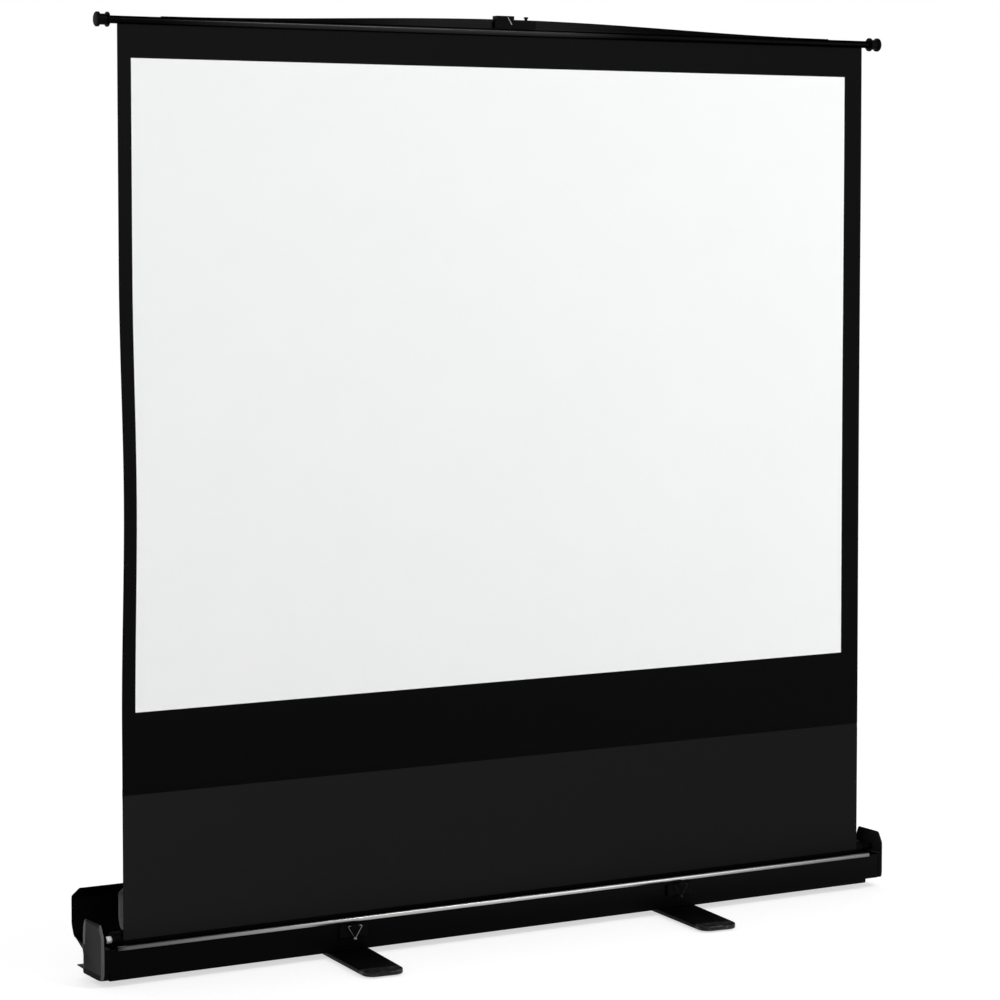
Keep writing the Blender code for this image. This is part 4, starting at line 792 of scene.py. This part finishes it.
grip_low, grip_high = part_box("handle_grip")
grip_radius = (grip_high.z - grip_low.z) / 2
grip_line = [(grip_low.x, 0), (grip_low.x, GRIP_END_SHARE * grip_radius),
             (grip_low.x + GRIP_END_SLOPE, GRIP_GROOVE_SHARE * grip_radius)]
rib_step = (grip_high.x - grip_low.x - 2 * GRIP_MARGIN) / GRIP_RIBS
for i in range(GRIP_RIBS):
    rib_start = grip_low.x + GRIP_MARGIN + i * rib_step
    for share, height in ((0.10, GRIP_GROOVE_SHARE), (0.22, 1), (0.78, 1), (0.90, GRIP_GROOVE_SHARE)):
        grip_line.append((rib_start + share * rib_step, height * grip_radius))
grip_line += [(-x, radius) for x, radius in reversed(grip_line[:3])]
grip = turned("ribbed_grip", grip_line, (0, (grip_low.y + grip_high.y) / 2, (grip_low.z + grip_high.z) / 2))
grip.data.materials.append(black_plastic)
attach(grip, "handle")
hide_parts("handle_grip")

# Latches
# A moulded block on the front wall carries a sprung wire with a small ball at its foot. The right wire is
# coated black, and the left one has a lighter bare metal finish.
dress(black_plastic, "latch_block_left", "latch_block_right")
# the left wire is given a lighter finish than the right
wire_light = drawn_metal("light_bare_wire", grey(0.10), grey(0.34, 0.335), 0.36, 1.0, 0.5, (120, 120, 120))
wire_black = drawn_metal("coated_black_wire", grey(0.004), grey(0.010), 0.40, 0.0, 0.10, (120, 120, 120))
dress(wire_light, "latch_bail_left")
dress(wire_black, "latch_bail_right")

# Feet
# Two flat bars with broad round corners swivel under the case on rivets, a little off square. They are black
# anodised, with a moulded black shoe at each end and a rubber pad under it.
FOOT_ROOT, FOOT_TIP = 0.089, 0.082           # width at the rivet and at the ends
FOOT_HALF_LENGTH = 0.2265
FOOT_CORNER, FOOT_EDGE = 0.022, 0.0022
FOOT_LEAN = radians(-4.8)
FOOT_SHOE = 0.034            # length of each moulded end
foot_black = drawn_metal("black_anodised_foot", grey(0.0008, 0.0009), grey(0.0015, 0.0016), 0.40, 0.0, 0.03,
                         (500, 6, 500))
# light patches on the shoes, partly scuffs and partly painted sheen
shoe_black, nodes, links, shader = finish("black_shoe_scuffs_and_sheen", grey(0.005), 0.36, 0.0, 0.16)
scuffs_and_painted_sheen = object_pattern(nodes, links, (30, 30, 90), 5.0, 2.6)
tinted(nodes, links, shader, ramp(nodes, links, scuffs_and_painted_sheen, 0.50, 0.66), grey(0.0016), grey(0.045))
add_bump(nodes, links, shader, object_pattern(nodes, links, (1, 1, 1), 2.0, 1700.0), 0.00004, 0.5)
black_rubber = grained_plastic("black_rubber", grey(0.004), grey(0.008), 0.80, 0.10, 0.0012)
dress(black_rubber, *(f"foot_pad_{side}_{end}" for side in ("left", "right") for end in ("front", "rear")))
dress(steel_bright, "foot_pivot_left", "foot_pivot_right")
foot_low, foot_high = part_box("foot_left")
foot_pivot = (foot_low.x + foot_high.x) / 2
foot = block("foot_bar_left", (-FOOT_ROOT / 2, -FOOT_HALF_LENGTH, foot_low.z),
             (FOOT_ROOT / 2, FOOT_HALF_LENGTH, foot_high.z))
choose(foot, 'FACE', lambda place, facing: True)
bpy.ops.mesh.bisect(plane_co=(0, 0, 0), plane_no=(0, 1, 0))
choose(foot, 'VERT', lambda place: abs(place.y) > FOOT_HALF_LENGTH - NEARLY)
bpy.ops.transform.resize(value=(FOOT_TIP / FOOT_ROOT, 1, 1), center_override=(0, 0, 0))
choose(foot, 'EDGE', lambda a, b: abs(a.z - b.z) > NEARLY and abs(a.y) > FOOT_HALF_LENGTH - NEARLY)
bpy.ops.mesh.bevel(offset=FOOT_CORNER, segments=8, affect='EDGES')
for end in (-1, 1):
    choose(foot, 'FACE', lambda place, facing: True)
    bpy.ops.mesh.bisect(plane_co=(0, end * (FOOT_HALF_LENGTH - FOOT_SHOE), 0), plane_no=(0, 1, 0))
ease_edges(foot, FOOT_EDGE, 3)
for material in (foot_black, shoe_black):
    foot.data.materials.append(material)
for face in foot.data.polygons:
    face.material_index = 1 if abs(face.center.y) > FOOT_HALF_LENGTH - FOOT_SHOE else 0
take_up(foot)
foot.rotation_euler = (0, 0, FOOT_LEAN)
foot.location = (foot_pivot, 0, 0)
settle(foot)
bpy.ops.object.duplicate()
right_foot = bpy.context.object
right_foot.name = "foot_bar_right"
right_foot.location = (-2 * foot_pivot, 0, 0)
settle(right_foot)
for side, bar in (("left", foot), ("right", right_foot)):
    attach(bar, f"{side}_foot")
    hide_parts(f"foot_{side}")

# Roller
# A black tube turns on steel axles in the end caps. A black collar at the right and a white nylon bush at the
# left keep it in its place, and a long steel spring round the left axle winds the cloth back in.
BUSH_SHARE = 0.82            # its radius, as a share of the collar's
BUSH_FIT = 0.0008            # room between it and the roller
BUSH_LENGTH, BUSH_NOSE = 0.0077, 0.0030
BUSH_EDGE = 0.0006
roller_black = drawn_metal("black_roller_tube", grey(0.0006), grey(0.0012), 0.45, 0.0, 0.02, ALONG_X)
white_nylon = grained_plastic("white_nylon", grey(0.86, 0.85), grey(0.90, 0.89), 0.45, 0.40)
dress(roller_black, "roller_tube", "roller_plug_left", "roller_plug_right")
dress(steel_bright, "axle_right", "spring_arbor_left", "roller_spring")
dress(black_plastic, "axle_collar_right")
collar_low, collar_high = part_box("axle_collar_left")
bush_radius = BUSH_SHARE * (collar_high.z - collar_low.z) / 2
axle_radius = (axle_high.z - axle_low.z) / 2
bush_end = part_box("roller_plug_left")[0].x - BUSH_FIT
bush_start = bush_end - BUSH_LENGTH
bush = turned("axle_bush_left",
              [(bush_end, axle_radius), (bush_end, 0.94 * bush_radius), (bush_end - BUSH_EDGE, bush_radius),
               (bush_start, bush_radius), (bush_start - BUSH_NOSE / 2, 0.93 * bush_radius),
               (bush_start - BUSH_NOSE, 0.76 * bush_radius), (bush_start - BUSH_NOSE, axle_radius),
               (bush_end, axle_radius)], (0, *axle_line))
bush.data.materials.append(white_nylon)
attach(bush, "base")
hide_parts("axle_collar_left")

# Wound cloth
# Two last turns of the black cloth stay on the roller when the screen is up. They are wound tight, a fraction
# of a millimetre apart, and the cloth leaves them at the front.
WOUND_TURNS = 2
WOUND_STEPS = 48             # in each turn
WOUND_COLUMNS = 12
WOUND_THICKNESS = 0.0003
roll_low, roll_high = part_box("cloth_roll")
roller_axis = (roll_low + roll_high) / 2
WOUND_STEP_IN = 0.0004       # from one turn to the next
WOUND_OUTER = (roll_high.y - roll_low.y) / 2 + WOUND_STEP_IN / 2


def weave_finish(name, dark, light, roughness, specular, sheen, thread=0.0007):
    """Coated cloth: a fine plain weave in relief, and a faint cloud of colour."""
    material, nodes, links, shader = finish(name, light, roughness, 0.0, specular)
    shader.inputs['Sheen Weight'].default_value = sheen
    shader.inputs['Sheen Roughness'].default_value = 0.5
    place = nodes.new('ShaderNodeTexCoord')
    ridges = []
    for direction in ('X', 'Z'):
        threads = nodes.new('ShaderNodeTexWave')
        threads.bands_direction = direction
        threads.inputs['Scale'].default_value = pi / 10 / thread
        threads.inputs['Distortion'].default_value = 0.6
        threads.inputs['Detail'].default_value = 1.0
        links.new(place.outputs['Object'], threads.inputs['Vector'])
        ridges.append(threads.outputs['Fac'])
    cloud = object_pattern(nodes, links, (1, 1, 1), 4.0, 7.0)
    tinted(nodes, links, shader, cloud, dark, light)
    add_bump(nodes, links, shader, product(nodes, links, *ridges), 0.00005, 0.5)
    return material, nodes, links, shader


lower_black, nodes, links, shader = weave_finish("black_lower_cloth", grey(0.0078, 0.0080),
                                                 grey(0.0112, 0.0114), 0.85, 0.08, 0.0)
# the lower cloth is painted darker towards the right, as painted shade
lower_painted_shade = place_ramp(nodes, links, 'X', -0.85, 0.85)
tinted(nodes, links, shader, lower_painted_shade, grey(0.0088, 0.0090), grey(0.0052, 0.0053))
wound_black = weave_finish("black_wound_cloth", grey(0.0010), grey(0.0018), 0.90, 0.03, 0.0)[0]
points, faces = [], []
for i in range(WOUND_TURNS * WOUND_STEPS + 1):
    radius = WOUND_OUTER - WOUND_STEP_IN * i / WOUND_STEPS
    a = 2 * pi * i / WOUND_STEPS
    for k in range(WOUND_COLUMNS + 1):
        points.append((roll_low.x + (roll_high.x - roll_low.x) * k / WOUND_COLUMNS,
                       roller_axis.y - radius * cos(a), roller_axis.z - radius * sin(a)))
for i in range(WOUND_TURNS * WOUND_STEPS):
    for k in range(WOUND_COLUMNS):
        here = i * (WOUND_COLUMNS + 1) + k
        faces.append((here, here + 1, here + WOUND_COLUMNS + 2, here + WOUND_COLUMNS + 1))
wound = piece_from("wound_cloth", points, faces)
wound.data.materials.append(wound_black)
thicken(wound, WOUND_THICKNESS, offset=0)
bpy.ops.object.shade_smooth_by_angle(angle=radians(40))
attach(wound, "roller")
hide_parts("cloth_roll")

# Mast
# Behind the cloth three flat aluminium tubes slide in one another, in a moulded socket bolted to the case. A
# moulded collar with a cam lever clamps each joint, and the head on top hooks into the batten's catch.
mast_aluminium = drawn_metal("drawn_mast_aluminium", grey(0.40, 0.395), grey(0.60, 0.59), 0.32, 1.0, 0.5,
                             (900, 900, 3))
dress(mast_aluminium, "mast_lower_tube", "mast_middle_tube", "mast_upper_tube")
dress(black_plastic, "mast_socket", "mast_head", "lower_collar", "middle_collar", "lower_clamp_lever",
      "middle_clamp_lever")
dress(steel_bright, "mast_bolt")

# Screen fabric
# One cut of matt white coated cloth with a printed black border, black on its back. It hangs from the batten,
# and its lower edge is sewn over a second, black cloth that comes up from the roller.
fabric_low, fabric_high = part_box("mask_border")
picture_low, picture_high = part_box("picture_panel")
lower_low, lower_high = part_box("extension_cloth")
FABRIC_Y = (fabric_low.y + fabric_high.y) / 2
FABRIC_THICKNESS = 0.0005
FABRIC_TOP = fabric_high.z + 0.0015          # the edge sits this far up in the batten's slot
SEAM_LAP = 0.012
SEAM_SET = 0.0008            # the lower cloth passes this far behind the upper one
BOW_DEPTH = 0.0068           # the left edge draws in by this at its tightest
BOW_HEIGHT = 0.905
BOW_REACH = 0.42
RIPPLE = 0.0009


def upright_grid(name, low_x, high_x, low_z, high_z, across, down, cuts_x=(), cuts_z=()):
    """An upright grid in the plane of the cloth, with extra lines where the colour changes."""
    deselect()
    bpy.ops.mesh.primitive_grid_add(x_subdivisions=across, y_subdivisions=down, size=1)
    sheet = bpy.context.object
    sheet.name = name
    sheet.scale = (high_x - low_x, high_z - low_z, 1)
    sheet.rotation_euler = (pi / 2, 0, 0)
    sheet.location = ((low_x + high_x) / 2, FABRIC_Y, (low_z + high_z) / 2)
    settle(sheet)
    bpy.ops.object.mode_set(mode='EDIT')
    for place, facing in [((x, 0, 0), (1, 0, 0)) for x in cuts_x] + [((0, 0, z), (0, 0, 1)) for z in cuts_z]:
        bpy.ops.mesh.select_all(action='SELECT')
        bpy.ops.mesh.bisect(plane_co=place, plane_no=facing)
    bpy.ops.object.mode_set(mode='OBJECT')
    return sheet


def hang(sheet):
    """The way the stretched cloth lies: its left edge drawn in at mid height, and faint ripples."""
    for vertex in sheet.data.vertices:
        x, z = vertex.co.x, vertex.co.z
        near = max(0.0, 1 - abs(z - BOW_HEIGHT) / BOW_REACH)
        pull = BOW_DEPTH * (3 * near ** 2 - 2 * near ** 3)
        vertex.co.x += pull * max(0.0, -x / fabric_high.x) ** 6
        held = sin(pi * min(1, max(0, (z - lower_low.z) / (fabric_high.z - lower_low.z))))
        vertex.co.y += RIPPLE * held * sin(5.1 * x + 0.6) * cos(3.3 * z)


white_face = weave_finish("matt_white_face", (0.845, 0.855, 0.850), (0.865, 0.873, 0.868), 0.92, 0.10, 0.0)[0]
border_face, nodes, links, shader = weave_finish("printed_black_border", grey(0.0022), grey(0.0048),
                                                 0.75, 0.03, 0.0)
# the border is painted lighter towards the top and towards the left, as a painted sheen
border_painted_sheen = product(nodes, links, place_ramp(nodes, links, 'Z', 0.42, 1.78, 0.15, 1.0),
                    place_ramp(nodes, links, 'X', -0.85, 0.85, 0.85, 0.42))
tinted(nodes, links, shader, border_painted_sheen, grey(0.0010), grey(0.0068, 0.0069))
black_back = weave_finish("black_coated_back", grey(0.010), grey(0.014), 0.62, 0.20, 0.0)[0]
screen = upright_grid("screen_fabric", fabric_low.x, fabric_high.x, fabric_low.z, FABRIC_TOP, 72, 60,
                      (picture_low.x, picture_high.x), (picture_low.z, picture_high.z))
for material in (white_face, border_face, black_back, black_back):
    screen.data.materials.append(material)
for face in screen.data.polygons:
    inside = picture_low.x < face.center.x < picture_high.x and picture_low.z < face.center.z < picture_high.z
    face.material_index = 0 if inside else 1
hang(screen)
if screen.data.polygons[0].normal.y > 0:
    turn_over(screen)
thicken(screen, FABRIC_THICKNESS, offset=0, inside=2)
bpy.ops.object.shade_smooth_by_angle(angle=radians(40))

lower = upright_grid("lower_fabric", lower_low.x, lower_high.x, lower_low.z, fabric_low.z + SEAM_LAP, 72, 24)
hang(lower)
for vertex in lower.data.vertices:
    behind = min(1, max(0, (vertex.co.z - fabric_low.z + SEAM_LAP) / SEAM_LAP))
    vertex.co.y += SEAM_SET * behind
lower.data.materials.append(lower_black)
thicken(lower, FABRIC_THICKNESS, offset=0)
bpy.ops.object.shade_smooth_by_angle(angle=radians(40))

STITCH = (0.0030, 0.0005, 0.0006)            # length, depth and width of one stitch
STITCH_EDGE = 0.00015
STITCHES = 404
SEAM_ROWS = (0.0032, 0.0080)                 # up from the upper cloth's edge
SEAM_END = 0.006             # from the cloth's side to the first stitch
stitch_rows = []
for height in SEAM_ROWS:
    deselect()
    stitch_place = (0, FABRIC_Y - FABRIC_THICKNESS / 2, fabric_low.z + height)
    bpy.ops.mesh.primitive_cube_add(size=1, location=stitch_place)
    stitches = bpy.context.object
    stitches.scale = STITCH
    settle(stitches)
    choose(stitches, 'EDGE', lambda a, b: abs(a.x - b.x) > NEARLY)
    bpy.ops.mesh.bevel(offset=STITCH_EDGE, segments=1, affect='EDGES')
    bpy.ops.object.mode_set(mode='OBJECT')
    stitch_rows.append(row_along_x(stitches, STITCHES, fabric_high.x - SEAM_END))
deselect()
for row in stitch_rows:
    row.select_set(True)
bpy.context.view_layer.objects.active = stitch_rows[0]
bpy.ops.object.join()
seam_stitches = bpy.context.object
seam_stitches.name = "seam_stitches"
hang(seam_stitches)
black_thread = lining("black_thread", grey(0.0020), grey(0.0042))
seam_stitches.data.materials.append(black_thread)

for piece, replaced, slot in ((screen, ("picture_panel", "mask_border"), "white_cloth"),
                              (lower, ("extension_cloth",), "lower_cloth"),
                              (seam_stitches, (), "lower_cloth")):
    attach(piece, "base")
    if replaced:
        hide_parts(*replaced)
    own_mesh(piece)

# Batten
# The cloth hangs from a black anodised tube, and a bell-shaped stiffener of the same metal stands on it. Both
# are drawn, with lines along their length, and both are painted lighter over part of their length as a
# painted highlight.
CROWN_SUNK = 0.003           # the stiffener's foot stands this far in the tube's slot
CROWN_ROUNDING = 0.0022
SAME_POINT, SAME_FACE = 0.00002, radians(0.02)               # the solid's loose triangles merged within these
TUBE_WALL = 0.0014
# the tube is painted lighter left of the middle, as a painted highlight
tube_black = metal_with_painted_sheen("black_anodised_tube", grey(0.0024, 0.0026), grey(0.0150, 0.0154), 0.27, 0.0,
                        ((-0.80, -0.50, 0.0, 1.0), (0.05, 0.30, 1.0, 0.0)))
# the stiffener is painted lighter at the middle, as a painted highlight
crown_black = metal_with_painted_sheen("black_anodised_crown", grey(0.0020, 0.0022), grey(0.0078, 0.0080), 0.26, 0.0,
                         ((-0.42, -0.15, 0.0, 1.0), (0.05, 0.35, 1.0, 0.0)))
tube_low, tube_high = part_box("batten_tube")
tube_radius = (tube_high.z - tube_low.z) / 2
tube_middle = (tube_low + tube_high) / 2
tube = turned("drawn_tube", [(tube_low.x, tube_radius - TUBE_WALL), (tube_low.x, tube_radius),
                             (tube_high.x, tube_radius), (tube_high.x, tube_radius - TUBE_WALL),
                             (tube_low.x, tube_radius - TUBE_WALL)], tube_middle, 72)
tube.data.materials.append(tube_black)
crown_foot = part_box("batten_crown")[0].z
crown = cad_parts["batten_crown"].copy()
crown.data = crown.data.copy()
for key in list(crown.keys()):               # the marks of the solid stay with the solid
    del crown[key]
crown.parent = None
crown.name = "bell_stiffener"
bpy.context.scene.collection.objects.link(crown)
take_up(crown)
bpy.ops.object.mode_set(mode='EDIT')
bpy.ops.mesh.select_all(action='SELECT')
bpy.ops.mesh.remove_doubles(threshold=SAME_POINT)
bpy.ops.mesh.dissolve_limited(angle_limit=SAME_FACE)
choose(crown, 'VERT', lambda place: place.z < crown_foot + NEARLY)
bpy.ops.transform.translate(value=(0, 0, -CROWN_SUNK))
bpy.ops.object.mode_set(mode='OBJECT')
ease_edges(crown, CROWN_ROUNDING, 3)
crown.data.materials.clear()
crown.data.materials.append(crown_black)
for piece, replaced in ((tube, "batten_tube"), (crown, "batten_crown")):
    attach(piece, "mast_upper")
    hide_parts(replaced)

# Knobs
# Each end of the tube is closed by a turned black knob, pushed in on a spigot. It has a rounded rim, a waist
# and a thin flange next to the tube.
KNOB_REACH = 0.0275          # how far it stands out of the tube
KNOB_RIM, KNOB_ROUND = 0.0038, 0.0016
KNOB_SLOPE = 0.0018
KNOB_FLANGE = (0.0030, 0.0054)               # from the tube to its near and far face
KNOB_SPIGOT = 0.020
KNOB_FIT = 0.0002            # room round the spigot and against the tube's end
KNOB_END_SHARE, KNOB_WAIST_SHARE, KNOB_NECK_SHARE = 0.80, 0.74, 0.64
knob_low, knob_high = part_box("batten_knob_left")
knob_radius = (knob_high.z - knob_low.z) / 2
knob_waist, knob_neck = KNOB_WAIST_SHARE * knob_radius, KNOB_NECK_SHARE * knob_radius
spigot_radius = tube_radius - TUBE_WALL - KNOB_FIT
knob_rim_start = KNOB_REACH - KNOB_ROUND - KNOB_RIM
knob_line = [(KNOB_REACH, 0), (KNOB_REACH, KNOB_END_SHARE * knob_radius),
             (KNOB_REACH - 0.3 * KNOB_ROUND, 0.93 * knob_radius), (KNOB_REACH - KNOB_ROUND, knob_radius),
             (knob_rim_start, knob_radius), (knob_rim_start - KNOB_SLOPE, knob_waist),
             (KNOB_FLANGE[1], knob_waist), (KNOB_FLANGE[1], knob_radius), (KNOB_FLANGE[0], knob_radius),
             (KNOB_FLANGE[0], knob_neck), (KNOB_FIT, knob_neck), (KNOB_FIT, spigot_radius),
             (-KNOB_SPIGOT, spigot_radius), (-KNOB_SPIGOT, 0)]
knob = turned("turned_knob_left", [(tube_low.x - tube_middle.x - out, radius) for out, radius in knob_line],
              tube_middle, 48)
knob.data.materials.append(black_plastic)
for side, piece in (("left", knob), ("right", other_side(knob, "turned_knob_right"))):
    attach(piece, "mast_upper")
    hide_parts(f"batten_knob_{side}")

# Catch
# The moulded bracket at the middle sits astride the stiffener and takes the head of the mast. A small plated
# pawl lies aslant on its front, and a black pin on top frees the mast.
PAWL_TOP, PAWL_FOOT = (-0.0215, 1.8290), (-0.0125, 1.8140)
PAWL_WIDTH, PAWL_THICKNESS = 0.0022, 0.0012
PAWL_HOOK = (0, 0.0022, 0.0012)              # its upper end turns back and up by this
PAWL_PROUD = 0.0004          # of the bracket's front
dress(black_plastic, "catch_bracket", "release_pin")
deselect()
pawl_across, pawl_down = PAWL_FOOT[0] - PAWL_TOP[0], PAWL_FOOT[1] - PAWL_TOP[1]
pawl_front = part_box("catch_bracket")[0].y - PAWL_PROUD
bpy.ops.mesh.primitive_cube_add(size=1)
pawl = bpy.context.object
pawl.name = "catch_pawl"
pawl.scale = (PAWL_WIDTH, PAWL_THICKNESS, hypot(pawl_across, pawl_down))
settle(pawl)
choose(pawl, 'FACE', lambda place, facing: facing.z > 0.9)
bpy.ops.mesh.extrude_region_move(TRANSFORM_OT_translate={"value": PAWL_HOOK})
bpy.ops.object.mode_set(mode='OBJECT')
ease_edges(pawl, CUT_EDGE)
pawl.rotation_euler = (0, atan2(-pawl_across, -pawl_down), 0)
pawl.location = ((PAWL_TOP[0] + PAWL_FOOT[0]) / 2, pawl_front, (PAWL_TOP[1] + PAWL_FOOT[1]) / 2)
settle(pawl)
steel_dull = drawn_metal("dull_plated_steel", grey(0.12), grey(0.22, 0.215), 0.38, 1.0, 0.5, (200, 200, 200))
pawl.data.materials.append(steel_dull)
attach(pawl, "mast_upper")
